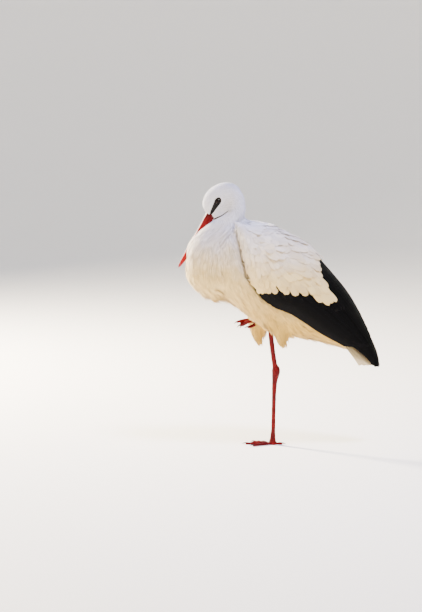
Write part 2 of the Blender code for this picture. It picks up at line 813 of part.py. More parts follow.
for word, which in (("left", -1), ("right", 1)):
    room = wing_room(which)
    boolean(TRUNK_PIECE, room, "DIFFERENCE")
    boolean(NECK_UPPER, room, "DIFFERENCE")
    drop(room)
    coverts(f"wing_{word}_coverts", which)
    flight_feathers(word, which)
SLOT = tail_room()
boolean(TRUNK_PIECE, SLOT, "DIFFERENCE")
drop(SLOT)
tail()

simplified(TRUNK_PIECE, TRUNK_FLAT_ANGLE)

SHANK = tarsus("shank_left", SHANK_LEFT, 6)
HEEL_LEFT = tarsus("tarsus_left", TARSUS_LEFT, 14)
HEEL_RIGHT = tarsus("tarsus_right", TARSUS_RIGHT, 11)
carve(SHANK, HEEL_LEFT)
BELLY = trunk_loft("belly", GAP)
for name, stations in (("thigh_left", THIGH_LEFT), ("thigh_right", THIGH_RIGHT)):
    drumstick = thigh(name, stations)
    boolean(drumstick, BELLY, "DIFFERENCE")
    carve(drumstick, SHANK, HEEL_RIGHT)
drop(BELLY)
carve(TRUNK_PIECE, SHANK, HEEL_RIGHT)
standing_toes()
carve(TRUNK_PIECE, *hanging_toes())
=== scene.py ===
"""White stork at rest on one leg: the finish of a life-size museum model.

The bird faces -X, +Y is its right side and +Z is up, in metres, and the sole of its left foot is at the
origin. A skin replaces the solids of flesh, and every feather over it is solid mesh.
"""

import math

import bmesh
import bpy
import numpy as np
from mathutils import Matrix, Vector, noise
from mathutils.bvhtree import BVHTree


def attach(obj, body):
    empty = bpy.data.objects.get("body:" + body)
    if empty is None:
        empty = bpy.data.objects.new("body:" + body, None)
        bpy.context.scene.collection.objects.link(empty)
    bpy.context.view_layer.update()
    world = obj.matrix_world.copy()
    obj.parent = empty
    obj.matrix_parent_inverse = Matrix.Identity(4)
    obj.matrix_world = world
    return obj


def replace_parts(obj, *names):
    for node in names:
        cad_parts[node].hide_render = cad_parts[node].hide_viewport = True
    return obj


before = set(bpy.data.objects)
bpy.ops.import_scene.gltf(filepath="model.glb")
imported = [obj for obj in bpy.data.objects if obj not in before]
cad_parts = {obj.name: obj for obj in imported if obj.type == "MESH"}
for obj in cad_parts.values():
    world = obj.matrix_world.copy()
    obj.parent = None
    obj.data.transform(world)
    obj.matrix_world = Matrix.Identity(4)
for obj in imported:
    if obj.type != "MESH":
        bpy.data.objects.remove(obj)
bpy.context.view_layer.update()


# ---------------------------------------------------------------- the coat's plan
# A stork's contour feathers grow backwards from the bill: up over the crown, down the neck into long loose
# plumes on the breast, and along the belly to the tail. Each row is one place on the body with its lie
# there, and the feathers' length, width, spacing and depth in mm; between places they change evenly.
COAT = (  # area, place (y out from the middle), lie, (length, width, spacing, depth), how free the tips hang
    ("head", (-0.199, 0.000, 0.700), (0.30, 0, 0.95), (4.5, 1.1, 1.6, 1.2), 0),
    ("head", (-0.180, 0.000, 0.750), (0.75, 0, 0.65), (6, 1.2, 1.7, 1.5), 0),
    ("head", (-0.135, 0.000, 0.768), (1.00, 0, -0.10), (9, 1.4, 1.9, 2.0), 0),
    ("head", (-0.095, 0.000, 0.745), (0.60, 0, -0.80), (12, 1.6, 2.2, 2.5), 0),
    ("head", (-0.080, 0.000, 0.700), (0.00, 0, -1.00), (16, 2.0, 2.5, 3.0), 0),
    ("head", (-0.175, 0.020, 0.690), (0.40, 0.2, 0.90), (4, 1.0, 1.5, 1.0), 0),
    ("head", (-0.165, 0.024, 0.730), (0.75, 0.1, 0.60), (5, 1.1, 1.6, 1.3), 0),
    ("head", (-0.152, 0.027, 0.690), (0.75, 0.1, 0.55), (5, 1.1, 1.5, 1.2), 0),
    ("head", (-0.125, 0.030, 0.705), (0.95, 0, -0.15), (8, 1.4, 1.8, 1.8), 0),
    ("head", (-0.150, 0.022, 0.672), (0.85, 0.1, 0.45), (5, 1.1, 1.5, 1.2), 0),
    ("head", (-0.100, 0.028, 0.700), (0.35, 0, -0.95), (14, 1.8, 2.3, 2.6), 0),
    ("neck", (-0.080, 0.000, 0.668), (-0.15, 0, -1.00), (22, 2.6, 3.2, 4), 0),
    ("neck", (-0.108, 0.031, 0.668), (-0.30, 0, -1.00), (20, 2.4, 3.0, 3.5), 0),
    ("neck", (-0.150, 0.020, 0.648), (-0.60, 0, -0.75), (18, 2.2, 2.8, 3), 0),
    ("neck", (-0.140, 0.042, 0.630), (-0.45, 0.05, -0.90), (34, 3.2, 3.8, 5), 0),
    ("neck", (-0.190, 0.025, 0.640), (-0.65, 0.1, -0.75), (34, 3.2, 3.6, 5), 0),
    ("ruff", (-0.215, 0.035, 0.600), (-0.45, 0.15, -0.90), (60, 7, 4.6, 6), 0),
    ("ruff", (-0.240, 0.000, 0.570), (-0.30, 0, -1.00), (60, 7, 4.6, 6), 0),
    ("ruff", (-0.190, 0.058, 0.570), (-0.20, 0.1, -1.00), (65, 7, 4.8, 6), 0),
    ("ruff", (-0.255, 0.000, 0.520), (0.05, 0, -1.00), (70, 8, 5.0, 8), 0.3),
    ("breast", (-0.215, 0.070, 0.510), (0.10, 0, -1.00), (60, 9, 5.6, 8), 0.2),
    ("breast", (-0.250, 0.000, 0.475), (0.35, 0, -0.95), (60, 9, 5.6, 8), 0.45),
    ("breast", (-0.205, 0.030, 0.445), (0.60, 0, -0.80), (60, 9, 5.6, 9), 0.5),
    ("breast", (-0.150, 0.085, 0.500), (0.25, 0, -0.95), (50, 9, 6.0, 8), 0.1),
    ("shoulder", (-0.100, 0.060, 0.635), (0.10, 0.2, -1.00), (32, 8, 5.2, 6), 0),
    ("shoulder", (-0.120, 0.085, 0.570), (0.15, 0.1, -1.00), (45, 9, 6.0, 7), 0),
    ("belly", (-0.150, 0.040, 0.430), (0.75, 0, -0.65), (55, 10, 6.4, 9), 0.3),
    ("belly", (-0.080, 0.085, 0.440), (0.55, 0, -0.85), (50, 10, 6.6, 9), 0.1),
    ("belly", (-0.060, 0.000, 0.363), (0.85, 0, -0.50), (50, 10, 6.8, 9), 0.2),
    ("belly", (0.020, 0.000, 0.328), (1.00, 0, -0.25), (50, 11, 7.2, 8), 0.1),
    ("belly", (0.020, 0.085, 0.400), (0.70, 0, -0.70), (50, 11, 7.2, 8), 0),
    ("rump", (0.100, 0.050, 0.335), (0.95, 0, -0.30), (50, 11, 7.4, 7), 0),
    ("rump", (0.160, 0.000, 0.295), (0.95, 0, -0.35), (60, 12, 8.0, 6), 0.1),
    ("rump", (0.200, 0.025, 0.320), (0.85, 0, -0.50), (60, 12, 8.0, 6), 0),
    ("rump", (0.190, 0.000, 0.440), (0.75, 0, -0.66), (50, 12, 8.5, 6), 0),
    ("thigh", (-0.004, 0.040, 0.400), (0.05, 0, -1.00), (34, 6, 5.0, 7), 0.1),
    ("fringe", (0.020, 0.038, 0.338), (0.25, 0, -1.00), (42, 6, 4.2, 5), 0.92),
    ("fringe", (-0.044, 0.054, 0.345), (0.18, 0, -1.00), (42, 6, 4.2, 5), 0.92),
    ("fringe", (-0.214, 0.000, 0.446), (0.25, 0, -1.00), (40, 7, 4.8, 7), 0.8),
    ("fringe", (-0.190, 0.036, 0.430), (0.30, 0, -1.00), (42, 7, 4.8, 7), 0.85),
    ("fringe", (-0.165, 0.015, 0.418), (0.55, 0, -0.90), (38, 7, 4.8, 7), 0.85),
    ("fringe", (0.060, 0.030, 0.325), (0.60, 0, -0.75), (50, 10, 6.6, 8), 0.62),
    ("back", (-0.070, 0.000, 0.659), (0.90, 0, -0.15), (34, 14, 11, 5), 0),
    ("back", (-0.016, 0.020, 0.648), (0.90, 0, -0.35), (44, 17, 12, 5), 0),
    ("back", (0.043, 0.030, 0.618), (0.87, 0, -0.50), (55, 20, 14, 5), 0),
    ("back", (0.106, 0.030, 0.585), (0.80, 0, -0.60), (64, 22, 16, 5), 0),
    ("back", (0.140, 0.015, 0.540), (0.70, 0, -0.75), (70, 22, 17, 5), 0),
)
AREAS = [row[0] for row in COAT]
PLAN_PLACES = np.array([row[1] for row in COAT])
PLAN_VALUES = np.array([[*row[2], *(mm / 1000 for mm in row[3]), row[4]] for row in COAT])
LIE, LENGTH, WIDTH, SPACING, DEPTH, FREE = slice(0, 3), 3, 4, 5, 6, 7  # columns of PLAN_VALUES
PLAN_BLEND = 0.004  # how softly one row's values give way to the next


def plan_at(places):
    """The coat's plan read at places on the body, and the index of the nearest row to each."""
    mirrored = places * [1, 0, 1] + abs(places) * [0, 1, 0]
    apart = np.linalg.norm(mirrored[:, None] - PLAN_PLACES, axis=2)
    weights = (apart + PLAN_BLEND) ** -4
    values = weights @ PLAN_VALUES / weights.sum(axis=1, keepdims=True)
    values[:, 1] *= np.sign(places[:, 1])
    return values, apart.argmin(axis=1)


def unit(vectors):
    return vectors / np.maximum(np.linalg.norm(vectors, axis=-1, keepdims=True), 1e-9)


# ---------------------------------------------------------------- skin
# One hide over the head, neck, trunk, upper arms, thighs and bare legs, with no seam between them. Under
# the feathers it is pale and downy; from the shanks down it is red, horny and covered in small scales.
FLESH = ("head", "neck_upper", "neck_lower", "trunk", "thigh_left", "thigh_right")
TOES = [(foot, toe) for foot in ("left", "right") for toe in ("inner", "middle", "outer", "hind")]
BARE_LEGS = ("shank_left", "tarsus_left", "tarsus_right", *(f"toe_{foot}_{toe}" for foot, toe in TOES))
COVERTS = ("wing_left_coverts", "wing_right_coverts")
SWELL = 0.0006  # the copies grow this much, so that they meet across the gaps between the solids
LEG_SWELL = 0.0012  # the legs are made this much too thick, and then drawn back onto their own shape
SKIN_VOXEL, SKIN_SMOOTHING = 0.0027, 3

BODY_PITCH = math.radians(38)  # how steeply the trunk falls to the tail
BODY_ORIGIN = np.array([-0.2117, 0.0, 0.6004])  # the front of its axis
WING_LOW_ANGLE = math.radians(-35)
WING_WIDEST = 0.3  # the share of the wing's height at which it stands out most
WING = (  # t, half width, top, lower edge, angle of the inner edge in degrees
    (0.043, 0.044, 0.112, 0.100, 30),
    (0.060, 0.060, 0.126, 0.090, 38),
    (0.096, 0.088, 0.144, 0.061, 52),
    (0.139, 0.103, 0.159, 0.027, 60),
    (0.180, 0.109, 0.169, 0.000, 67),
    (0.210, 0.1115, 0.174, -0.012, 71),
    (0.250, 0.1115, 0.179, -0.018, 77),
    (0.290, 0.109, 0.177, -0.014, 83),
    (0.330, 0.105, 0.1695, -0.002, 87),
    (0.3625, 0.100, 0.163, 0.001, 89.7),
    (0.435, 0.086, 0.146, 0.005, 89.7),
    (0.5075, 0.066, 0.117, 0.014, 89.6),
    (0.580, 0.045, 0.083, 0.019, 89.5),
    (0.645, 0.028, 0.040, 0.004, 89.3),
)


def follow(stations, x):
    """The columns after the first, read at each x on a smooth curve through the stations."""
    table = np.array(stations, float)
    at, rows = table[:, 0], table[:, 1:]
    slope = np.gradient(rows, at, axis=0)
    x = np.clip(x, at[0], at[-1])
    i = np.clip(np.searchsorted(at, x, side="right") - 1, 0, len(at) - 2)
    step = (at[i + 1] - at[i])[..., None]
    s = (x - at[i])[..., None] / step
    start = (2 * s**3 - 3 * s**2 + 1) * rows[i] + (s**3 - 2 * s**2 + s) * step * slope[i]
    return start + (3 * s**2 - 2 * s**3) * rows[i + 1] + (s**3 - s**2) * step * slope[i + 1]


def body_place(t, y, n):
    """World places t along the trunk, y to the right side and n above its axis."""
    c, s = math.cos(BODY_PITCH), math.sin(BODY_PITCH)
    return BODY_ORIGIN + np.stack([t * c + n * s, y, -t * s + n * c], axis=-1)


def wing_place(t, v, depth, side):
    """Places t along the folded wing and v round it, from the back at 0 to the lower edge at 1."""
    t, v, depth = np.broadcast_arrays(t, v, depth)
    half, top, low, inner_edge = np.moveaxis(follow(WING, t), -1, 0)
    angle = np.radians(inner_edge) + v * (WING_LOW_ANGLE - np.radians(inner_edge))
    middle = low + WING_WIDEST * (top - low)
    reach = np.where(angle >= 0, top - middle, (middle - low) / math.sin(-WING_LOW_ANGLE))
    outward = unit(np.stack([np.cos(angle) / half, np.sin(angle) / np.maximum(reach, 0.005)], axis=-1))
    y = half * np.cos(angle) - depth * outward[..., 0]
    n = middle + reach * np.sin(angle) - depth * outward[..., 1]
    return body_place(t, side * y, n)


def mesh_from(shape, name):
    """A new mesh of a bmesh, which is then freed."""
    mesh = bpy.data.meshes.new(name)
    shape.to_mesh(mesh)
    shape.free()
    return mesh


def placed(name, data):
    """A new object in the scene."""
    made = bpy.data.objects.new(name, data)
    bpy.context.scene.collection.objects.link(made)
    return made


def swollen_copy(node, swell):
    """The merged triangles of a CAD node, grown along their normals."""
    copy = bmesh.new()
    copy.from_mesh(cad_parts[node].data)
    bmesh.ops.remove_doubles(copy, verts=copy.verts, dist=1e-6)
    copy.normal_update()
    for vertex in copy.verts:
        vertex.co += vertex.normal * swell
    return mesh_from(copy, node)


ARM_ALONG, ARM_ROUND = (0.062, 0.245, 12), (0.04, 0.97, 16)  # t and v, from, to, and how many
ARM_DEPTHS = (0.0042, 0.0160)  # the arm's outer and inner face, in from the wing's surface


def arm_mesh(side):
    """The flesh of the folded arm, under the wing's small feathers."""
    t, v = np.meshgrid(np.linspace(*ARM_ALONG), np.linspace(*ARM_ROUND), indexing="ij")
    rows, columns = t.shape
    rim = [(i, 0) for i in range(rows)] + [(rows - 1, j) for j in range(1, columns)]
    rim += [(i, columns - 1) for i in range(rows - 2, -1, -1)] + [(0, j) for j in range(columns - 2, 0, -1)]
    shape = bmesh.new()
    layers = []
    for depth in ARM_DEPTHS:
        layers.append([[shape.verts.new(p) for p in row] for row in wing_place(t, v, depth, side)])
    for layer in layers:
        for i in range(rows - 1):
            for j in range(columns - 1):
                shape.faces.new([layer[i][j], layer[i + 1][j], layer[i + 1][j + 1], layer[i][j + 1]])
    for (i, j), (k, m) in zip(rim, rim[1:] + rim[:1]):
        shape.faces.new([layers[0][i][j], layers[0][k][m], layers[1][k][m], layers[1][i][j]])
    bmesh.ops.recalc_face_normals(shape, faces=shape.faces)
    return mesh_from(shape, "arm")


def select_only(piece):
    """Deselects everything else, as an operator acts on all that is selected."""
    bpy.ops.object.select_all(action="DESELECT")
    bpy.context.view_layer.objects.active = piece
    piece.select_set(True)


def apply_modifier(piece, kind, **settings):
    """Adds a modifier and makes its result the piece's own mesh."""
    modifier = piece.modifiers.new(kind.title(), kind)
    for key, value in settings.items():
        setattr(modifier, key, value)
    select_only(piece)
    bpy.ops.object.modifier_apply(modifier=modifier.name)


def drop_inner_shells(piece):
    """Keeps the largest closed surface of a fused piece, as the gaps leave small ones inside."""
    shape = bmesh.new()
    shape.from_mesh(piece.data)
    seen, shells = set(), []
    for first in shape.verts:
        if first in seen:
            continue
        seen.add(first)
        shell, front = [first], [first]
        while front:
            vertex = front.pop()
            for edge in vertex.link_edges:
                other = edge.other_vert(vertex)
                if other not in seen:
                    seen.add(other)
                    shell.append(other)
                    front.append(other)
        shells.append(shell)
    shells.sort(key=len)
    for shell in shells[:-1]:
        bmesh.ops.delete(shape, geom=shell, context="VERTS")
    shape.to_mesh(piece.data)
    shape.free()


def fused(name, meshes, voxel, rounds):
    """One smooth closed surface round all the meshes, which are used up."""
    shape = bmesh.new()
    for mesh in meshes:
        shape.from_mesh(mesh)
        bpy.data.meshes.remove(mesh)
    piece = placed(name, mesh_from(shape, name))
    apply_modifier(piece, "REMESH", mode="VOXEL", voxel_size=voxel)
    drop_inner_shells(piece)
    apply_modifier(piece, "SMOOTH", factor=0.5, iterations=rounds)
    return piece


def all_of(items, key, columns=None, kind=float):
    """One value, or one row of columns, of every point, corner or face of a mesh."""
    values = np.empty(len(items) * (columns or 1), kind)
    items.foreach_get(key, values)
    return values.reshape(-1, columns) if columns else values


def points_of(mesh):
    return all_of(mesh.vertices, "co", 3)


def normals_of(mesh):
    return all_of(mesh.vertices, "normal", 3)


def move_points(mesh, points):
    mesh.vertices.foreach_set("co", points.ravel())
    mesh.update()


def tree_of(*meshes):
    """The surface of meshes, for the nearest place on it and for rays."""
    shape = bmesh.new()
    for mesh in meshes:
        shape.from_mesh(mesh)
    tree = BVHTree.FromBMesh(shape)
    shape.free()
    return tree


def solids_tree(nodes):
    return tree_of(*(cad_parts[node].data for node in nodes))


def nearest(tree, places):
    """The nearest place on a surface to each place, its normal, the face and how far it is."""
    found = [tree.find_nearest(p) for p in places.reshape(-1, 3).tolist()]
    spots, normals, faces, apart = (np.array(values) for values in zip(*found))
    return spots.reshape(places.shape), normals.reshape(places.shape), faces, apart


def linear(code, alpha=1.0):
    """An sRGB hex colour as linear values."""
    channels = [int(code[i : i + 2], 16) / 255 for i in (1, 3, 5)]
    return [c / 12.92 if c <= 0.04045 else ((c + 0.055) / 1.055) ** 2.4 for c in channels] + [alpha]


def add(material, kind, inputs=(), stops=(), **settings):
    """Adds a shader node of a kind. inputs are links and values of its sockets, stops a ramp's colours.

    settings are the node's properties, or values of sockets that are named with _ for a space.
    """
    made = material.node_tree.nodes.new(f"ShaderNode{kind}")
    for key, value in settings.items():
        if hasattr(made, key):
            setattr(made, key, value)
        else:
            made.inputs[key.replace("_", " ")].default_value = value
    for socket, source in inputs:
        if isinstance(source, bpy.types.NodeSocket):
            material.node_tree.links.new(source, made.inputs[socket])
        else:
            made.inputs[socket].default_value = source
    if stops:
        elements = made.color_ramp.elements
        elements.remove(elements[1])
        elements[0].position = stops[0][0]
        for position, _ in stops[1:]:
            elements.new(position)
        for element, (_, colour) in zip(elements, stops):
            element.color = linear(colour)
    return made


def new_material(name, **values):
    """A material with its Principled shader's uniform values set, and that shader."""
    material = bpy.data.materials.new(name)
    material.use_nodes = True
    shader = material.node_tree.nodes["Principled BSDF"]
    for key, value in values.items():
        shader.inputs[key.replace("_", " ")].default_value = value
    return material, shader


def link(material, source, shader, socket):
    material.node_tree.links.new(source, shader.inputs[socket])


MIX_FIRST, MIX_SECOND, MIX_RESULT = 6, 7, 2  # a Mix node's sockets for colours


def stain_and_painted_light_by_height(material):
    """Cream low on the breast and belly, white with a cool lilac tint above. The cream is partly plumage
    stained by wet ground and partly painted warm light bounced up from the ground; the lilac is painted sky
    light.
    """
    place = add(material, "TexCoord").outputs["Object"]
    patches = add(material, "TexNoise", [("Vector", place)], Scale=18.0, Detail=2.0)
    height = add(material, "SeparateXYZ", [("Vector", place)]).outputs["Z"]
    terms = [(0, patches.outputs["Fac"]), (1, 0.10), (2, height)]
    uneven = add(material, "Math", terms, operation="MULTIPLY_ADD").outputs["Value"]
    share = add(material, "MapRange", [("Value", uneven)], From_Min=0.40, From_Max=0.72)
    # low stops: stain and painted warm bounce light; top stop: painted cool sky light
    stops = ((0.0, "#d2ac54"), (0.45, "#e9cf90"), (1.0, "#eeeef7"))
    return add(material, "ValToRGB", [("Fac", share.outputs["Result"])], stops).outputs["Color"]


def down_material():
    """Soft pale down over thin skin: fully matt, with a fine fleecy surface of 2 mm clumps."""
    material, shader = new_material("white_down", Roughness=0.9, Sheen_Weight=0.2)
    # base colour with painted light: warm bounce low, cool sky above, over real staining
    link(material, stain_and_painted_light_by_height(material), shader, "Base Color")
    place = add(material, "TexCoord").outputs["Object"]
    fleece = add(material, "TexNoise", [("Vector", place)], Scale=500.0, Detail=3.0).outputs["Fac"]
    bump = add(material, "Bump", [("Height", fleece)], Strength=0.5, Distance=0.0008)
    link(material, bump.outputs["Normal"], shader, "Normal")
    return material


def leg_material():
    """Horny leg skin, a waxy red with darker creases between scales of about 3 mm."""
    material, shader = new_material("red_leg_skin", Roughness=0.5, Specular_IOR_Level=0.1)
    place = add(material, "TexCoord").outputs["Object"]
    pattern = {"feature": "DISTANCE_TO_EDGE", "Scale": 330.0, "Randomness": 0.6}
    scales = add(material, "TexVoronoi", [("Vector", place)], **pattern).outputs["Distance"]
    stain = add(material, "TexNoise", [("Vector", place)], Scale=60.0, Detail=4.0).outputs["Fac"]
    red = add(material, "ValToRGB", [("Fac", stain)], ((0.35, "#480106"), (0.68, "#7c0207")))
    crease = add(material, "MapRange", [("Value", scales)], From_Max=0.12, To_Min=0.45)
    crease = crease.outputs["Result"]
    sockets = [("Factor", 1.0), (MIX_FIRST, red.outputs["Color"]), (MIX_SECOND, crease)]
    colour = add(material, "Mix", sockets, data_type="RGBA", blend_type="MULTIPLY")
    link(material, colour.outputs[MIX_RESULT], shader, "Base Color")
    bump = add(material, "Bump", [("Height", crease)], Strength=0.6, Distance=0.0004)
    link(material, bump.outputs["Normal"], shader, "Normal")
    return material


def unwrap(piece):
    """A map of the skin's own shape, named OFBake."""
    piece.data.uv_layers.new(name="OFBake")
    select_only(piece)
    bpy.ops.object.mode_set(mode="EDIT")
    bpy.ops.mesh.select_all(action="SELECT")
    bpy.ops.uv.smart_project(angle_limit=math.radians(66), island_margin=0.002)
    bpy.ops.object.mode_set(mode="OBJECT")


CLOSING = 0.0055  # hollows narrower than twice this are filled
FLESH_VOXEL, FLESH_SMOOTHING = 0.0035, 5
CREASE_START = 0.012  # no crease nearer the middle than this, and all of it from twice as far out
CREASES = (  # depth, half width, and the line (x, z) on both sides of the body
    (0.0060, 0.0028, ((-0.172, 0.659), (-0.154, 0.668), (-0.139, 0.677), (-0.128, 0.684))),  # under the jaw
    (0.0070, 0.0040, ((-0.078, 0.664), (-0.095, 0.654), (-0.113, 0.643), (-0.137, 0.618), (-0.156, 0.592))),
    (0.0080, 0.0045, ((-0.106, 0.640), (-0.102, 0.610), (-0.094, 0.575), (-0.083, 0.525), (-0.073, 0.493))),
    (0.0030, 0.0050, ((-0.073, 0.493), (-0.058, 0.467), (-0.043, 0.450), (-0.033, 0.439))),
)


def fading(apart, half, power=2):
    """1 where there is nothing apart, and fading to 0 past half."""
    return np.exp(-((apart / half) ** power))


def folded(points, normals):
    """Presses the creases into a surface: under the jaw, round the neck's fold, and before the wing."""
    pressed = np.zeros(len(points))
    for depth, half, line in CREASES:
        pressed = np.maximum(pressed, depth * fading(from_line(points, line), half))
    side = np.clip(abs(points[:, 1]) / CREASE_START - 1, 0, 1)
    return points - normals * (pressed * side)[:, None]


EVENED = (  # the surface is evened this far on both sides of a line (x, z)
    (0.020, ((-0.215, 0.440), (-0.180, 0.420), (-0.158, 0.440), (-0.148, 0.468))),  # under the breast
    (0.010, ((-0.218, 0.618), (-0.208, 0.638))),  # where the bill goes into the plumes
)
EVENING_ROUNDS = 50
DENT_PLACE, DENT_SIZE, DENT_DEPTH = (-0.262, 0.0, 0.552), (0.060, 0.060, 0.030), 0.010


def from_line(points, line):
    """How far points are from a line (x, z) as the bird is seen from the side."""
    flat, line = points[:, [0, 2]], np.array(line)
    apart = np.full(len(points), 1.0)
    for a, b in zip(line, line[1:]):
        share = np.clip((flat - a) @ (b - a) / ((b - a) @ (b - a)), 0, 1)
        apart = np.minimum(apart, np.linalg.norm(flat - a - share[:, None] * (b - a), axis=1))
    return apart


def dented(points):
    """Presses the breast in where the bill comes out of the plumes."""
    apart = (points - DENT_PLACE) / DENT_SIZE
    pressed = points.copy()
    pressed[:, 0] += DENT_DEPTH * np.exp(-(apart**2).sum(axis=1))
    return pressed


def make_flesh():
    """The solids of flesh as one closed body, with the hollow under the plumes of the breast filled."""
    flesh = fused("flesh", [swollen_copy(node, CLOSING) for node in FLESH], FLESH_VOXEL, FLESH_SMOOTHING)
    points = points_of(flesh.data)
    uneven = np.any([from_line(points, line) < band for band, line in EVENED], axis=0)
    flesh.vertex_groups.new(name="uneven").add(np.flatnonzero(uneven).tolist(), 1.0, "REPLACE")
    apply_modifier(flesh, "SMOOTH", factor=0.5, iterations=EVENING_ROUNDS, vertex_group="uneven")
    mesh = flesh.data
    move_points(mesh, dented(points_of(mesh) - normals_of(mesh) * CLOSING))
    bpy.data.objects.remove(flesh)
    return mesh


BILL = ("bill_upper", "bill_lower")
BILL_BASE, BILL_TIP = np.array([-0.1740, 0.0, 0.6707]), np.array([-0.2764, 0.0, 0.5164])
BILL_AXIS = unit(BILL_TIP - BILL_BASE)
TUCK_START = 0.003  # from here along the bill, the skin that lies
TUCK_WITHIN = 0.0022  # this near to it is drawn
TUCK_DEPTH = 0.0025  # this far into it


def tucked_under_bill(points):
    """Draws the skin's edge along the bill down into it, so that it closes round the bill without a rim."""
    spots, outward, _, apart = nearest(solids_tree(BILL), points)
    edge = (apart < TUCK_WITHIN) & ((points - BILL_BASE) @ BILL_AXIS > TUCK_START)
    return np.where(edge[:, None], spots - outward * TUCK_DEPTH, points)


ARM_CLEAR = 0.004  # skin further than this from the flesh is an arm's, and already inside its feathers


def make_skin():
    """The hide: below the outline by the coat's depth, but at the outline on the bare legs."""
    arms = [arm_mesh(side) for side in (-1, 1)]
    legs = [swollen_copy(node, LEG_SWELL) for node in BARE_LEGS]
    skin = fused("skin", [FLESH_MESH.copy(), *arms, *legs], SKIN_VOXEL, SKIN_SMOOTHING)
    mesh = skin.data
    points, normals = points_of(mesh), normals_of(mesh)
    leg_spots, leg_normals, _, to_leg = nearest(solids_tree(BARE_LEGS), points)
    to_flesh = nearest(tree_of(FLESH_MESH), points)[3]
    bare = to_leg < to_flesh
    depth = np.where(bare | (to_flesh > ARM_CLEAR), 0.0, plan_at(points)[0][:, DEPTH])
    points = tucked_under_bill(folded(points - normals * depth[:, None], normals))
    points[bare] = leg_spots[bare] + leg_normals[bare] * SWELL
    points[:, 2] = np.maximum(points[:, 2], 0.0)
    move_points(mesh, points)
    mesh.materials.append(down_material())
    mesh.materials.append(leg_material())
    corners = all_of(mesh.loops, "vertex_index", kind=int)
    first_corners = corners[all_of(mesh.polygons, "loop_start", kind=int)]
    mesh.polygons.foreach_set("material_index", bare[first_corners].astype(int))
    mesh.shade_smooth()
    unwrap(skin)
    return skin


FLESH_MESH = make_flesh()
skin = make_skin()
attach(skin, "root")
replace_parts(skin, *FLESH, *BARE_LEGS)
SKIN_TREE = tree_of(skin.data)
SKIN_MAP = all_of(skin.data.uv_layers["OFBake"].uv, "vector", 2).reshape(-1, 4, 2).mean(axis=1)  # by face


# ---------------------------------------------------------------- contour feathers
# Small feathers over all of the body but the wings: hairlike on the head, loose plumes on the neck and
# breast, broad and soft on the belly and back. Each grows from the skin, and its tip lies at the outline.
HULL_VOXEL, HULL_SMOOTHING = 0.0035, 6


def triangles_of(mesh):
    """Corner places of a mesh's triangles, (n, 3, 3)."""
    mesh.calc_loop_triangles()
    return points_of(mesh)[all_of(mesh.loop_triangles, "vertices", 3, int)]


def make_hull():
    """One smooth surface at the feathers' tips: its tree and its triangles."""
    solids = [FLESH_MESH, *(swollen_copy(node, SWELL) for node in COVERTS)]
    hull = fused("hull", solids, HULL_VOXEL, HULL_SMOOTHING)
    mesh = hull.data
    move_points(mesh, folded(points_of(mesh), normals_of(mesh)))
    bpy.data.objects.remove(hull)
    return tree_of(mesh), triangles_of(mesh)


HULL_TREE, HULL_TRIANGLES = make_hull()

HEAD_BASE = np.array([-0.1827, 0.0, 0.6678])
HEAD_AXIS = unit(np.array([0.470, 0.0, 0.883]))
HEAD_UP = np.array([-HEAD_AXIS[2], 0.0, HEAD_AXIS[0]])
EYE_ALONG, EYE_UP, EYE_OUT, EYE_RADIUS = 0.0493, 0.001, 0.0236, 0.0072
FACE_START, FACE_UP = 0.0055, 0.002  # where the bare skin starts, at the mouth's corner
FACE_HALF, FACE_GROWTH = 0.0042, 0.0048  # half its height there, and how much that grows to the eye
FACE_BEFORE, FACE_BEHIND = 0.002, 0.0125  # how far it reaches on past the mouth's corner and the eye


def bare_face_share(places):
    """Below 1 on the bare skin of the face: a drop that is round at the eye and pointed at the mouth."""
    along = (places - HEAD_BASE) @ HEAD_AXIS
    up = (places - HEAD_BASE) @ HEAD_UP
    share = np.clip((along - FACE_START) / (EYE_ALONG - FACE_START), 0, 1)
    middle = FACE_UP + (EYE_UP - FACE_UP) * share
    half = FACE_HALF + FACE_GROWTH * share**1.2
    behind = np.maximum(along - EYE_ALONG, 0) / FACE_BEHIND
    before = np.maximum(FACE_START - along, 0) / FACE_BEFORE
    return np.sqrt(((up - middle) / half) ** 2 + behind**2 + before**2)


WING_CLEAR = ((0.05, 0.12), (0.0009, 0.0045))  # t, and how far the roots there keep from the wing
FOLD_REACH, FOLD_OUT = 0.012, 0.05  # the fold before the wing: how near the wing, and how far out it is
BILL_COVERED = 0.64  # below this height the bill lies in the plumes of the neck
COVERED_CLEAR, COVERED_INSIDE = 0.004, 0.012  # what roots keep from the bill there, round and inside it
BILL_CLEAR, BILL_INSIDE = 0.0003, 0.0015  # the same where the bill is bare
TIP_AT, TIP_OVER = 0.6, 0.85  # where along a feather it may not lie over the bare face, and how far in
FACE_OUT = 0.01  # the face is bare only this far out from the middle


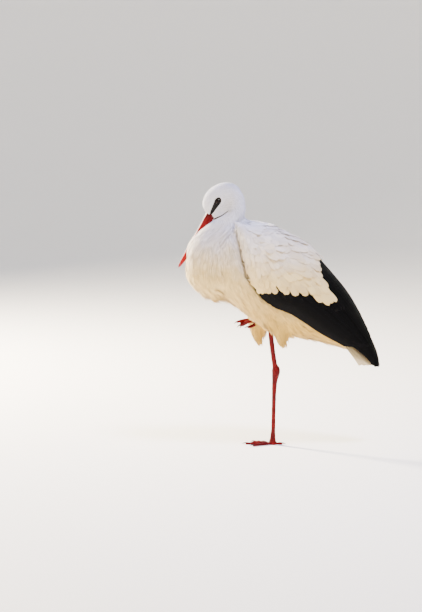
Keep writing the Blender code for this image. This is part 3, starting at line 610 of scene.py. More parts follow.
def hull_areas():
    """The plan's values at each triangle of the hull, and its area, which is empty where no locks grow."""
    middles = HULL_TRIANGLES.mean(axis=1)
    values, rows = plan_at(middles)
    areas = np.array(AREAS)[rows]
    along = (middles - BODY_ORIGIN) @ [math.cos(BODY_PITCH), 0, -math.sin(BODY_PITCH)]
    out = abs(middles[:, 1])
    to_wing = nearest(solids_tree(COVERTS), middles)[3]
    by_wing = to_wing < np.interp(along, *WING_CLEAR)
    first, second, third = HULL_TRIANGLES.transpose(1, 0, 2)
    facing = unit(np.cross(second - first, third - first))
    turned_in = facing[:, 1] * np.sign(middles[:, 1]) < -0.1
    in_fold = turned_in & (to_wing < FOLD_REACH) & (out > FOLD_OUT)
    spots, outward, _, to_bill = nearest(solids_tree(BILL), middles)
    inside = ((middles - spots) * outward).sum(axis=1) < 0
    covered = middles[:, 2] < BILL_COVERED
    by_bill = to_bill < np.where(covered, COVERED_CLEAR, np.where(inside, BILL_INSIDE, BILL_CLEAR))
    in_bill = covered & inside & (to_bill < COVERED_INSIDE)
    tips = middles + unit(values[:, LIE]) * (TIP_AT * values[:, LENGTH])[:, None]
    on_face = (bare_face_share(middles) < 1) | (bare_face_share(tips) < TIP_OVER)
    areas[by_wing | in_fold | by_bill | in_bill | (on_face & (out > FACE_OUT))] = ""
    return values, areas


HULL_VALUES, HULL_AREAS = hull_areas()

ROOT_AREA = 0.80  # the surface for each root, as a share of the plan's spacing squared
ROOT_APART = 0.80  # the least distance between roots, as a share of that spacing
ROOT_TRIES = 5  # places tried for each root


def sown(area, rng):
    """Roots on the hull in one area of the plan, about evenly spaced, and the plan's values there."""
    corners = HULL_TRIANGLES[HULL_AREAS == area]
    spacing = HULL_VALUES[HULL_AREAS == area, SPACING]
    sizes = np.linalg.norm(np.cross(corners[:, 1] - corners[:, 0], corners[:, 2] - corners[:, 0]), axis=1) / 2
    wanted = sizes / (ROOT_AREA * spacing**2)
    tries = int(wanted.sum() * ROOT_TRIES)
    picked = rng.choice(len(corners), tries, p=wanted / wanted.sum())
    a, b = rng.random((2, tries, 1))
    over = a + b > 1
    a, b = np.where(over, 1 - a, a), np.where(over, 1 - b, b)
    corner = corners[picked]
    places = corner[:, 0] + a * (corner[:, 1] - corner[:, 0]) + b * (corner[:, 2] - corner[:, 0])
    keep = spaced(places, ROOT_APART * spacing[picked])
    return places[keep], plan_at(places[keep])[0]


def spaced(places, apart):
    """Indexes of places that keep their distance from those before them."""
    grid, kept = {}, []
    keys = np.floor(places / apart.max()).astype(int).tolist()
    around = [(i, j, k) for i in (-1, 0, 1) for j in (-1, 0, 1) for k in (-1, 0, 1)]
    for index, (key, (x, y, z), limit) in enumerate(zip(keys, places.tolist(), (apart**2).tolist())):
        cells = (grid.get((key[0] + i, key[1] + j, key[2] + k), ()) for i, j, k in around)
        near = (place for cell in cells for place in cell)
        if all((px - x) ** 2 + (py - y) ** 2 + (pz - z) ** 2 >= limit for px, py, pz in near):
            grid.setdefault(tuple(key), []).append((x, y, z))
            kept.append(index)
    return np.array(kept)


PATH_STEPS = 4
HEADING_KEPT = 0.6  # the share of its heading that a path keeps at each step; the rest is the plan's lie


def laid_down(heading, up, free):
    """Headings turned along the surface, but for the share by which the feathers hang free."""
    return unit(heading - up * (heading * up).sum(axis=1, keepdims=True) * (1 - free))


def led(roots, values):
    """Paths over the hull along the lie, (n, PATH_STEPS + 1, 3), and the hull's normals along them."""
    place, up = nearest(HULL_TREE, roots)[:2]
    free = values[:, FREE, None]
    ahead = laid_down(unit(values[:, LIE]), up, free)
    path, ups = [place], [up]
    stride = values[:, LENGTH, None] / PATH_STEPS
    for _ in range(PATH_STEPS):
        target = place + ahead * stride
        spot, up = nearest(HULL_TREE, target)[:2]
        place = spot + (target - spot) * free
        lie = unit(plan_at(place)[0][:, LIE])
        ahead = laid_down(unit(HEADING_KEPT * ahead + (1 - HEADING_KEPT) * lie), up, free)
        path.append(place)
        ups.append(up)
    return np.stack(path, axis=1), np.stack(ups, axis=1)


def read(path, share):
    """Values at shares (n, k) of the way along each of the paths (n, m, 3)."""
    at = np.clip(share, 0, 1) * (path.shape[1] - 1)
    i = np.minimum(at.astype(int), path.shape[1] - 2)
    part = (at - i)[..., None]
    n = np.arange(len(path))[:, None]
    return path[n, i] * (1 - part) + path[n, i + 1] * part


PATCH = 0.003  # how wide a body's patch on the skin's map is
SHARP_EDGE = math.radians(80)


def joined_bodies(name, rings, caps, roots, tint, vane):
    """One mesh of many closed bodies. rings is (bodies, rows, around, 3), caps the quads of a ring's end.

    Each body's faces share a small patch on the skin's map, at its root. tint is one number per body, and
    vane the places (bodies, rows, around, 2) across and along each feather, in metres.
    """
    bodies, rows, around = rings.shape[:3]
    i = np.arange(rows - 1)[:, None] * around
    k = np.arange(around)
    after = (k + 1) % around
    sides = np.stack([i + k, i + after, i + around + after, i + around + k], axis=-1).reshape(-1, 4)
    caps = np.array(caps)
    quads = np.concatenate([sides, caps[:, ::-1], caps + (rows - 1) * around])
    quads = (quads + (np.arange(bodies) * rows * around)[:, None, None]).reshape(-1, 4)
    mesh = bpy.data.meshes.new(name)
    mesh.vertices.add(bodies * rows * around)
    mesh.vertices.foreach_set("co", rings.ravel())
    mesh.loops.add(quads.size)
    mesh.loops.foreach_set("vertex_index", quads.ravel())
    mesh.polygons.add(len(quads))
    mesh.polygons.foreach_set("loop_start", np.arange(len(quads)) * 4)
    mesh.update()
    size = np.maximum(np.ptp(vane, axis=(1, 2)), 1e-6)[:, None, None]
    patch = (vane - vane.min(axis=(1, 2))[:, None, None]) / size * PATCH
    patch = SKIN_MAP[nearest(SKIN_TREE, roots)[2]][:, None, None] + patch - PATCH / 2
    for layer, values in (("OFBake", patch), ("vane", vane)):
        uv = mesh.uv_layers.new(name=layer)
        uv.uv.foreach_set("vector", values.reshape(-1, 2)[quads.ravel()].ravel())
    shade = mesh.attributes.new("tint", "FLOAT", "POINT")
    shade.data.foreach_set("value", np.repeat(tint, rows * around))
    mesh.polygons.foreach_set("use_smooth", np.ones(len(quads), bool))
    mesh.set_sharp_from_angle(angle=SHARP_EDGE)
    piece = placed(name, mesh)
    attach(piece, "root")
    return piece


CLUMPS = 60.0  # per metre: feathers cling together in groups about 17 mm across
CLUMP_DRAWN = 0.65  # and longer along the feathers, by this share
CLUMP_LIFT, CLUMP_SWAY = 0.11, 0.10  # how far a clump lifts and sways, as shares of a feather's length
CLUMP_PAINTED_SHADE = 0.6  # the clump's share in the tint of a lock, which is painted shade: darker where a clump sinks, lighter where it lifts
LENGTH_SHARES, LIE_SPREAD, LIFT_SPREAD = (0.80, 1.18), 0.06, 0.022  # how much feathers differ
LOCK_SHARES, LOCK_LIFT = (0.84, 1.0), (-0.0004, 0.0006)  # how much the locks of a feather differ
FAN_ROOT, FAN_SHORTER = 0.30, 0.14  # the fan's width at the root, and how much shorter its sides are
LOCK_WIDTH = ((0, 0.3, 0.7, 1), (0.45, 1, 0.8, 0.06))  # share of the way along, share of the width
LOCK_THICK, LOCK_CROWN = 0.00010, 0.16  # half the thickness: the least, and what each half width adds
LOCK_SECTION = np.array([(-1, 0), (0, 1), (1, 0), (0, -1)])  # across and up: a flat lens
LOCK_CAP = [(0, 1, 2, 3)]


def clumped(roots, values):
    """How far each feather lifts and sways, from -1 to 1, much the same within a clump."""
    lie = unit(values[:, LIE])
    drawn = (roots - CLUMP_DRAWN * lie * (roots * lie).sum(axis=1, keepdims=True)) * CLUMPS
    lift = np.array([noise.noise(Vector(p)) for p in drawn])
    sway = np.array([noise.noise(Vector(p) + Vector((9, 9, 9))) for p in drawn])
    return lift, sway


def locks(name, area, fan, rows, seed):
    """The contour feathers of one area, each a fan of narrow pointed locks from one root."""
    rng = np.random.default_rng(seed)
    roots, values = sown(area, rng)
    n = len(roots)
    values[:, LENGTH] *= rng.uniform(*LENGTH_SHARES, n)
    values[:, LIE] += rng.normal(0, LIE_SPREAD, (n, 3))
    path, ups = led(roots, values)
    clump, sway = clumped(roots, values)
    body = np.repeat(np.arange(n), fan)
    lean = np.tile(np.linspace(-1, 1, fan) if fan > 1 else np.zeros(1), n)
    reach = rng.uniform(*LOCK_SHARES, n * fan) - FAN_SHORTER * lean**2
    s = np.linspace(0, 1, rows)
    share = s * reach[:, None]
    centre, up = read(path[body], share), unit(read(ups[body], share))
    side = unit(np.cross(unit(np.gradient(centre, axis=1)), up))
    length, half = values[:, LENGTH], values[body, WIDTH, None] / 2
    lift = CLUMP_LIFT * clump * length + rng.normal(0, LIFT_SPREAD, n) * length
    lift = (lift[body] + rng.uniform(*LOCK_LIFT, n * fan))[:, None] * s**1.5
    under = values[body, DEPTH, None] * (1 - s) ** 1.4
    centre = centre + side * (half * lean[:, None] * (FAN_ROOT + (1 - FAN_ROOT) * share))[..., None]
    centre = centre + side * ((CLUMP_SWAY * sway * length)[body, None] * share**2)[..., None]
    centre = centre + up * (lift - under)[..., None]
    wide = half / fan**0.6 * np.interp(s, *LOCK_WIDTH)
    thick = LOCK_THICK + LOCK_CROWN * wide
    across, upright = LOCK_SECTION[:, 0] * wide[..., None], LOCK_SECTION[:, 1] * thick[..., None]
    rings = centre[:, :, None] + side[:, :, None] * across[..., None] + up[:, :, None] * upright[..., None]
    along = (share * length[body, None])[..., None]
    vane = np.stack(np.broadcast_arrays(across, along), axis=-1)
    # painted shade: locks of sunken clumps are darker and of lifted clumps lighter; the rest is random tone
    tint = np.clip(0.5 + 0.9 * clump, 0, 1)[body] * CLUMP_PAINTED_SHADE + rng.random(n * fan) * (1 - CLUMP_PAINTED_SHADE)
    piece = joined_bodies(name, rings, LOCK_CAP, roots[body], tint, vane)
    piece.data.materials.append(PLUME)


def plume_material():
    """White contour feathers: matt keratin barbs with a soft velvety edge, and painted shade that darkens the
    locks of sunken clumps.
    """
    material, shader = new_material(
        "white_plume", Roughness=0.75, Sheen_Weight=0.35, Sheen_Roughness=0.4, Specular_IOR_Level=0.2
    )
    tint = add(material, "Attribute", attribute_name="tint").outputs["Fac"]
    # darkens the white by the lock's tint, the painted shade between clumps
    shade = add(material, "MapRange", [("Value", tint)], To_Min=0.60, To_Max=1.0)
    sockets = [("Factor", 1.0), (MIX_SECOND, shade.outputs["Result"])]
    colour = add(material, "Mix", sockets, data_type="RGBA", blend_type="MULTIPLY")
    # base colour with painted light: warm bounce low, cool sky above, over real staining
    link(material, stain_and_painted_light_by_height(material), colour, MIX_FIRST)
    link(material, colour.outputs[MIX_RESULT], shader, "Base Color")
    return material


PLUME = plume_material()
COAT_PIECES = (  # piece, area of the plan, locks in a feather, rows of points along a lock, seed
    ("coat_head", "head", 1, 3, 1),
    ("coat_neck", "neck", 1, 4, 2),
    ("coat_ruff", "ruff", 3, 5, 3),
    ("coat_breast", "breast", 3, 5, 4),
    ("coat_shoulders", "shoulder", 3, 4, 5),
    ("coat_belly", "belly", 3, 4, 6),
    ("coat_rump", "rump", 3, 4, 7),
    ("coat_thighs", "thigh", 2, 4, 8),
    ("coat_fringe", "fringe", 3, 5, 10),
    ("coat_back", "back", 5, 5, 9),
)
for piece_plan in COAT_PIECES:
    locks(*piece_plan)


# ---------------------------------------------------------------- bill
# Two long horny sheaths over bone that meet along a straight cutting edge, the upper one with a rounded
# ridge and a slit nostril near its root. Each is a sphere drawn out between its root and its point.
BILL_UP = np.array([BILL_AXIS[2], 0.0, -BILL_AXIS[0]])
BILL_SHAPE = (  # along, whole depth, share above the mouth line, half width
    (-0.006, 0.0300, 0.66, 0.0112),
    (0.000, 0.0300, 0.66, 0.0112),
    (0.040, 0.0250, 0.63, 0.0096),
    (0.080, 0.0205, 0.60, 0.0080),
    (0.120, 0.0165, 0.57, 0.0064),
    (0.147, 0.0130, 0.55, 0.0050),
    (0.166, 0.0088, 0.54, 0.0034),
    (0.178, 0.0048, 0.52, 0.0020),
    (0.184, 0.0014, 0.50, 0.0008),
)
BILL_START, BILL_LENGTH = BILL_SHAPE[0][0], BILL_SHAPE[-1][0] - BILL_SHAPE[0][0]
BILL_CLOSING = 0.12  # the share of a sheath's rounding over which its ends close
MOUTH_GAP = 0.0003
RIDGE_HEIGHT, RIDGE_WIDTH = 0.0007, 0.22  # on top of the upper half; the width is a share of its own
KEEL_HEIGHT, KEEL_WIDTH, KEEL_START = 0.0005, 0.3, 0.05  # the same below the lower half, from so far along
NOSTRIL_ALONG, NOSTRIL_HALF, NOSTRIL_HEIGHT = 0.026, 0.0055, math.radians(48)
NOSTRIL_DEPTH, NOSTRIL_WIDTH = 0.0016, 0.10  # metres, and radians round the bill
GROOVE_AHEAD, GROOVE_HALF = 0.018, 0.022  # the groove that runs on from the nostril
GROOVE_DEPTH, GROOVE_WIDTH = 0.0005, 0.22


def drawn_sphere(name, segments, rings, finish):
    """A sphere's piece with its share from pole to pole, its angle round, and its rounding at the ends."""
    bpy.ops.object.select_all(action="DESELECT")
    bpy.ops.mesh.primitive_uv_sphere_add(segments=segments, ring_count=rings, radius=1)
    piece = bpy.context.object
    piece.name = piece.data.name = name
    points = points_of(piece.data)
    share = np.arccos(np.clip(-points[:, 2], -1, 1)) / math.pi
    angle = np.arctan2(points[:, 1], points[:, 0])
    piece.data.materials.append(finish)
    piece.data.shade_smooth()
    return piece, share, angle, np.sin(share * math.pi)


def set_points(piece, points):
    """Moves a piece's points, and turns its faces outwards."""
    piece.data.vertices.foreach_set("co", points.ravel())
    shape = bmesh.new()
    shape.from_mesh(piece.data)
    bmesh.ops.recalc_face_normals(shape, faces=shape.faces)
    shape.to_mesh(piece.data)
    shape.free()
    piece.data.update()


def set_shade(piece, values):
    """The number at each point that the piece's finish reads as its tint."""
    shade = piece.data.attributes.new("tint", "FLOAT", "POINT")
    shade.data.foreach_set("value", np.asarray(values, float))


def nostril_dent(along, angle):
    """How deep the upper half is pressed in by the slit of the nostril and the groove beyond it."""
    off = np.abs(np.abs(angle - math.pi / 2) - (math.pi / 2 - NOSTRIL_HEIGHT))
    slit = fading(along - NOSTRIL_ALONG, NOSTRIL_HALF, 4) * fading(off, NOSTRIL_WIDTH)
    groove = fading(along - NOSTRIL_ALONG - GROOVE_AHEAD, GROOVE_HALF, 4) * fading(off, GROOVE_WIDTH)
    return NOSTRIL_DEPTH * slit + GROOVE_DEPTH * groove


def sheath(name, upper, finish):
    """One half of the bill, from inside the head's feathers to its point."""
    piece, share, angle, rounding = drawn_sphere(name, 56, 120, finish)
    along = BILL_START + BILL_LENGTH * share
    depth, above, half = np.moveaxis(follow(BILL_SHAPE, along), -1, 0)
    height = depth * (above if upper else 1 - above) - MOUTH_GAP / 2
    outer = np.sin(angle) > 0
    rise = np.where(outer, height * np.abs(np.sin(angle)) ** (0.85 if upper else 0.7), 0.0)
    across = half * np.cos(angle)
    if upper:
        ridge = RIDGE_HEIGHT * fading(np.cos(angle), RIDGE_WIDTH) * np.clip(depth / 0.02, 0, 1)
        dent = nostril_dent(along, angle) * outer
        rise = rise + ridge * outer - 0.4 * dent  # pressed in and a little down
        across = across - np.sign(across) * dent
    else:
        keel = KEEL_HEIGHT * fading(np.cos(angle), KEEL_WIDTH) * np.clip((along - KEEL_START) / 0.05, 0, 1)
        rise = rise + keel * outer
    full = np.clip(rounding / BILL_CLOSING, 0, 1)
    rise = (MOUTH_GAP / 2 + rise * full) * (1 if upper else -1)
    points = BILL_BASE + BILL_AXIS * along[:, None] + BILL_UP * rise[:, None]
    points[:, 1] += across * full
    set_points(piece, points)
    set_shade(piece, np.clip(along / BILL_SHAPE[-1][0], 0, 1))
    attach(piece, "root")
    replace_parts(piece, "bill_upper" if upper else "bill_lower")


def horn_material():
    """Waxy red horn: deeper and duller at the root, with faint streaks of growth and scuffs, low gloss.

    The streaks are 2 mm wide and twelve times as long, and run along the bill.
    """
    material, shader = new_material("red_horn", Roughness=0.36, Specular_IOR_Level=0.12)
    along = add(material, "Attribute", attribute_name="tint").outputs["Fac"]
    place = add(material, "TexCoord").outputs["Object"]
    turned = [("Vector", place), ("Rotation", (0, math.radians(-33.6), 0))]  # the bill's own direction
    drawn = add(material, "Mapping", turned, Scale=(1, 1, 0.08)).outputs["Vector"]
    streaks = add(material, "TexNoise", [("Vector", drawn)], Scale=420.0, Detail=3.0).outputs["Fac"]
    mottle = add(material, "TexNoise", [("Vector", place)], Scale=70.0, Detail=3.0)
    terms = [(0, mottle.outputs["Fac"]), (1, 0.22), (2, along)]
    uneven = add(material, "Math", terms, operation="MULTIPLY_ADD").outputs["Value"]
    stops = ((0.06, "#2a0006"), (0.28, "#6c0009"), (0.95, "#88000a"))
    red = add(material, "ValToRGB", [("Fac", uneven)], stops)
    link(material, red.outputs["Color"], shader, "Base Color")
    bump = add(material, "Bump", [("Height", streaks)], Strength=0.3, Distance=0.0002)
    link(material, bump.outputs["Normal"], shader, "Normal")
    return material


HORN = horn_material()
sheath("bill_sheath_upper", True, HORN)
sheath("bill_sheath_lower", False, HORN)


# ---------------------------------------------------------------- eyes and bare face
# A drop of bare black skin from the corner of the mouth to behind the eye. Its rim round the eye is the lids,
# two low folds that leave an almond of the wet brown eyeball showing.
SIDES = (("left", -1), ("right", 1))  # with the sign of y
OUTSIDE, THIN_HALF = 0.060, 0.012  # out from the middle: clear of the head, and its thin front
LID_HALF = (0.0066, 0.0051)  # the opening between the lids, towards the bill and across
LID_PINCH = 0.10  # how much its corners are drawn in
FACE_POINTS = 72
FACE_EDGE = 1.06  # the skin goes on this far under the feathers, as a share of its reach
FACE_THICKNESS = 0.0015
WRINKLE, WRINKLES = 0.00012, 17
FACE_PROFILE = (  # share from the opening out to the feathers, height above the face
    (0.00, -0.0052),
    (0.02, -0.0004),
    (0.05, 0.0009),
    (0.10, 0.0014),
    (0.17, 0.0009),
    (0.27, 0.0003),
    (0.34, 0.0006),
    (0.45, 0.0004),
    (0.70, 0.0006),
    (0.90, 0.0004),
    (1.00, -0.0016),
)


def head_place(along, up):
    """Places in the head's middle plane, along its axis and up from it."""
    return HEAD_BASE + np.multiply.outer(along, HEAD_AXIS) + np.multiply.outer(up, HEAD_UP)


def on_side(side, flat):
    """The places on a side of the head over places (x, z) of its middle plane."""
    toward = Vector((0, -side, 0))
    spots = []
    for x, z in flat:
        spot = HULL_TREE.ray_cast(Vector((x, side * OUTSIDE, z)), toward)[0]
        if spot is None:  # past the thin front of the head
            spot = HULL_TREE.find_nearest(Vector((x, side * THIN_HALF, z)))[0]
        spots.append(spot)
    return np.array(spots)


def bare_edge(angles):
    """How far the bare skin reaches from the eye at each angle, found by halving."""
    near, far = np.full(len(angles), 0.001), np.full(len(angles), 0.060)
    for _ in range(30):
        middle = (near + far) / 2
        places = head_place(EYE_ALONG + middle * np.cos(angles), EYE_UP + middle * np.sin(angles))
        inside = bare_face_share(places) < FACE_EDGE
        near, far = np.where(inside, middle, near), np.where(inside, far, middle)
    return near


def face_skin(word, side):
    """The bare skin of a side of the face, as a ring of rows from the lids out and back underneath."""
    angles = np.linspace(0, 2 * math.pi, FACE_POINTS, endpoint=False)
    opening = 1 / np.sqrt((np.cos(angles) / LID_HALF[0]) ** 2 + (np.sin(angles) / LID_HALF[1]) ** 2)
    opening = opening * (1 - LID_PINCH * np.sin(2 * angles) ** 2)
    edge = np.maximum(bare_edge(angles), opening * 1.25)
    rng = np.random.default_rng(31)
    rows = []
    for share, height in FACE_PROFILE:
        reach = opening + (edge - opening) * share
        wrinkle = WRINKLE * np.sin(angles * WRINKLES + rng.uniform(0, 6)) * (0 < share < 0.9)
        flat = head_place(EYE_ALONG + reach * np.cos(angles), EYE_UP + reach * np.sin(angles))
        place = on_side(side, flat[:, [0, 2]])
        place[:, 1] += side * (height + wrinkle)
        rows.append(place)
    rows += [row - [0, side * FACE_THICKNESS, 0] for row in rows[::-1]]
    shape = bmesh.new()
    points = [[shape.verts.new(place) for place in row] for row in rows]
    for row, next_row in zip(points, points[1:] + points[:1]):
        for i in range(FACE_POINTS):
            j = (i + 1) % FACE_POINTS
            shape.faces.new([row[i], next_row[i], next_row[j], row[j]])
    bmesh.ops.recalc_face_normals(shape, faces=shape.faces)
    piece = placed(f"face_skin_{word}", mesh_from(shape, f"face_skin_{word}"))
    piece.data.materials.append(FACE_SKIN)
    piece.data.shade_smooth()
    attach(piece, "root")


# the black strip along the jaw is partly bare skin and partly painted shade, the shadow under the cheek's
# feathers
JAW_LINE = ((-0.174, 0.6590), (-0.160, 0.6655), (-0.150, 0.6700), (-0.139, 0.6780), (-0.128, 0.6870))
JAW_HALF, JAW_TAPER = 0.0021, 0.7  # half width at the mouth, and how much of it is lost to the far end
JAW_CLOSING = 0.3  # the share of the fold's rounding over which its ends close
JAW_HEIGHT, JAW_CROWN = 0.0004, 0.0008


def jaw_skin_and_shade_line(word, side):
    """A bare black fold along the jaw, from the corner of the mouth back to where it closes under feathers:
    partly bare skin, partly painted shade standing for the shadow under the cheek's feathers.
    """
    piece, share, angle, rounding = drawn_sphere(f"jaw_skin_and_shade_line_{word}", 10, 40, FACE_SKIN)
    line = np.array(JAW_LINE)
    at = share * (len(line) - 1)
    flat = np.stack([np.interp(at, np.arange(len(line)), line[:, k]) for k in (0, 1)], axis=-1)
    ahead = unit(np.gradient(line, axis=0).mean(axis=0))
    full = np.clip(rounding / JAW_CLOSING, 0, 1)
    width = JAW_HALF * full * (1 - JAW_TAPER * share)
    flat = flat + np.outer(width * np.cos(angle), [-ahead[1], ahead[0]])
    points = on_side(side, flat)
    points[:, 1] += side * (JAW_HEIGHT + JAW_CROWN * np.sin(angle) * full)
    set_points(piece, points)
    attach(piece, "root")


def face_material():
    """Thin black skin with wrinkles 1 mm apart, a little greasy, so it shines softly along the lids."""
    material, shader = new_material("black_face_skin", Roughness=0.5, Specular_IOR_Level=0.15)
    place = add(material, "TexCoord").outputs["Object"]
    folds = add(material, "TexVoronoi", [("Vector", place)], Scale=1100.0, Randomness=0.9)
    folds = folds.outputs["Distance"]
    black = add(material, "ValToRGB", [("Fac", folds)], ((0.0, "#0b0808"), (1.0, "#040304")))
    link(material, black.outputs["Color"], shader, "Base Color")
    bump = add(material, "Bump", [("Height", folds)], Strength=0.4, Distance=0.0002)
    link(material, bump.outputs["Normal"], shader, "Normal")
    return material


def eye_material():
    """A wet eyeball, mirror smooth: black pupil, dark brown iris, and nearly black round it."""
    material, shader = new_material("wet_eye", Roughness=0.04, IOR=1.38, Specular_IOR_Level=0.25)
    facing = add(material, "Attribute", attribute_name="tint").outputs["Fac"]
    stops = ((0.70, "#0a0706"), (0.73, "#140a06"), (0.86, "#20110a"), (0.915, "#120a06"), (0.935, "#020202"))
    brown = add(material, "ValToRGB", [("Fac", facing)], stops)
    link(material, brown.outputs["Color"], shader, "Base Color")
    return material


FACE_SKIN, WET_EYE = face_material(), eye_material()
EYE_INSET, EYE_SMALLER = 0.0006, 0.0003  # the eyeball sits this much inside its solid, and is so much smaller
LOOK_AHEAD, LOOK_DOWN = 0.14, 0.05  # how far it turns from straight out, as shares
CORNEA, CORNEA_EDGE = 0.0005, 0.70


def eyeball(word, side):
    """An eye that looks out to the side, a little ahead and down, with a clear bulge over the iris."""
    piece = drawn_sphere(f"eyeball_{word}", 48, 32, WET_EYE)[0]
    outward = unit(np.array([0, side, 0]) - LOOK_AHEAD * HEAD_AXIS - LOOK_DOWN * HEAD_UP)
    directions = points_of(piece.data)
    facing = directions @ outward
    bulge = CORNEA * np.clip((facing - CORNEA_EDGE) / (1 - CORNEA_EDGE), 0, 1) ** 0.7
    centre = head_place(EYE_ALONG, EYE_UP) + [0, side * (EYE_OUT - EYE_INSET), 0]
    set_points(piece, centre + directions * (EYE_RADIUS - EYE_SMALLER + bulge)[:, None])
    set_shade(piece, np.clip(facing, 0, 1))
    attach(piece, "root")
    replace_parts(piece, f"eye_{word}")


for word, side in SIDES:
    face_skin(word, side)
    jaw_skin_and_shade_line(word, side)
    eyeball(word, side)


# ---------------------------------------------------------------- wings
# The folded wing, from outside: rows of small white coverts over the arm, white scapulars from the back
# over its upper edge, a row of black greater coverts, the secondaries and tertials, and the primaries below.
COVERT_END = (  # v round the wing, t where the white coverts end, in two groups with a notch between them
    (0.00, 0.300),
    (0.30, 0.328),
    (0.38, 0.350),
    (0.43, 0.424),
    (0.52, 0.411),
    (0.58, 0.392),
    (0.63, 0.368),
    (0.665, 0.318),
    (0.70, 0.312),
    (0.80, 0.264),
    (0.90, 0.240),
    (1.00, 0.222),
)
SCAPULAR_END = (  # the same for the scapulars, from past the back's ridge
    (-0.30, 0.330),
    (-0.04, 0.326),
    (0.06, 0.308),
    (0.16, 0.304),
    (0.26, 0.322),
    (0.36, 0.338),
    (0.44, 0.356),
)
COVERT_HEADING = (  # v, degrees below the wing's line
    (0.20, 2),
    (0.45, 9),
    (0.62, 20),
    (0.75, 32),
    (0.88, 32),
    (1.00, 22),
)
ACROSS = np.array([-1, -0.72, -0.40, -0.09, 0, 0.09, 0.40, 0.72, 1])  # columns of a vane, its shaft midway
SHAFT_RISE = np.array([0, 0.02, 0.05, 0.10, 0.34, 0.10, 0.05, 0.02, 0]) / 1000
VANE_THICKNESS = 0.00020
VANE_CAPS = [(j, j + 1, 16 - j, 17 - j) for j in range(8)]
VANE_WIDTH = ((0, 0.25, 0.7, 1), (0.35, 0.85, 1, 0.86))  # share of the way along, share of the width
VANE_CUP = 0.0008  # how much the edges lie below the shaft
HEADING_SPREAD, RUFFLED_SPREAD = 2.0, 3000  # degrees, and degrees more for each metre of ruffling
FRAY = 0.30  # share of half the width by which a tip's edge is uneven


def reading(table, v):
    """The second column of a table at v."""
    return np.interp(v, *np.array(table).T)


def girth(t, v, side=1):
    """Metres round the wing for one unit of v."""
    step = 0.01
    apart = wing_place(t, v + step, 0, side) - wing_place(t, v - step, 0, side)
    return np.linalg.norm(apart, axis=-1) / (2 * step)


def by_feather(values):
    """One value for each feather, ready to meet the rows along it and the columns across it."""
    return values[:, None, None]


def tip_curve(x, blunt):
    """How far a rounded tip falls back across the feather, as a share of half its width."""
    return 1 - np.sqrt(1 - blunt * x**2)


def vane_sheet(name, place, first, second, depth, side, across, along, finish, rng):
    """Closes feathers between an upper and an under face and joins them into one piece."""
    first, second, depth, across, along = np.broadcast_arrays(first, second, depth, across, along)
    upper = place(first, second, depth - SHAFT_RISE, side)
    under = place(first, second, depth + VANE_THICKNESS + SHAFT_RISE * 0.5, side)
    rings = np.concatenate([upper, under[:, :, ::-1]], axis=2)
    vane = np.stack([across, along], axis=-1)
    vane = np.concatenate([vane, vane[:, :, ::-1]], axis=2)
    if side < 0:
        rings, vane = rings[:, :, ::-1], vane[:, :, ::-1]
    roots = upper[:, 0, len(ACROSS) // 2]
    piece = joined_bodies(name, rings, VANE_CAPS, roots, rng.random(len(roots)), vane)
    piece.data.materials.append(finish)
    return piece


def vanes(name, side, tip_t, tip_v, heading, length, half, depths, finish, seed, ruffle=0.0004):
    """Feathers on the wing's surface: root to tip at a heading, with a rounded, slightly frayed tip."""
    rng = np.random.default_rng(seed)
    n = len(tip_t)
    heading = heading + rng.normal(0, math.radians(HEADING_SPREAD + RUFFLED_SPREAD * ruffle), n)
    length = np.minimum(length, (tip_t - WING[0][0] - 0.002) / np.cos(heading))
    scale = girth(tip_t - 0.5 * length, tip_v, side)
    root_t = tip_t - length * np.cos(heading)
    root_v = tip_v - length * np.sin(heading) / scale
    ahead, aside, half = by_feather(np.cos(heading)), by_feather(np.sin(heading)), by_feather(half)
    s = np.linspace(0, 1, 9)[:, None]
    x = ACROSS[None]
    wide = half * np.interp(s, *VANE_WIDTH)
    rounded = rng.uniform(0, FRAY, (n, 1, len(ACROSS))) * half + half * tip_curve(x, 0.94)
    along = by_feather(length) * s - s**5 * rounded
    t = by_feather(root_t) + along * ahead - x * wide * aside
    v = by_feather(root_v) + (along * aside + x * wide * ahead) / by_feather(scale)
    root_depth, tip_depth = depths
    lift = by_feather(rng.uniform(-0.3, 1.0, n)) * ruffle
    tilt = by_feather(rng.uniform(-0.6, 0.6, n)) * ruffle
    depth = tip_depth + (root_depth - tip_depth) * (1 - s) ** 1.2 - (lift + tilt * x) * s**1.5
    depth = depth + VANE_CUP * x**2 * (1 - 0.3 * s)
    return vane_sheet(name, wing_place, t, v, depth, side, x * wide, along, finish, rng)


def feather_finish(name, dark, light, **values):
    """A feather's vane: barbs of keratin, drawn 1.2 mm apart so that they show, sloping to the tip."""
    material, shader = new_material(name, **values)
    tint = add(material, "Attribute", attribute_name="tint").outputs["Fac"]
    where = add(material, "UVMap", uv_map="vane").outputs["UV"]
    parts = add(material, "SeparateXYZ", [("Vector", where)])
    out = add(material, "Math", [(0, parts.outputs["X"])], operation="ABSOLUTE").outputs["Value"]
    terms = [(0, out), (1, -1.3), (2, parts.outputs["Y"])]  # along a slope from the shaft
    slope = add(material, "Math", terms, operation="MULTIPLY_ADD").outputs["Value"]
    factors = [(0, slope), (1, 2 * math.pi / 0.0012)]
    turn = add(material, "Math", factors, operation="MULTIPLY").outputs["Value"]
    barbs = add(material, "Math", [(0, turn)], operation="SINE").outputs["Value"]
    bump = add(material, "Bump", [("Height", barbs)], Strength=0.35, Distance=0.00012)
    link(material, bump.outputs["Normal"], shader, "Normal")
    shade = add(material, "ValToRGB", [("Fac", tint)], ((0.0, dark), (1.0, light)))
    return material, shader, shade.outputs["Color"]


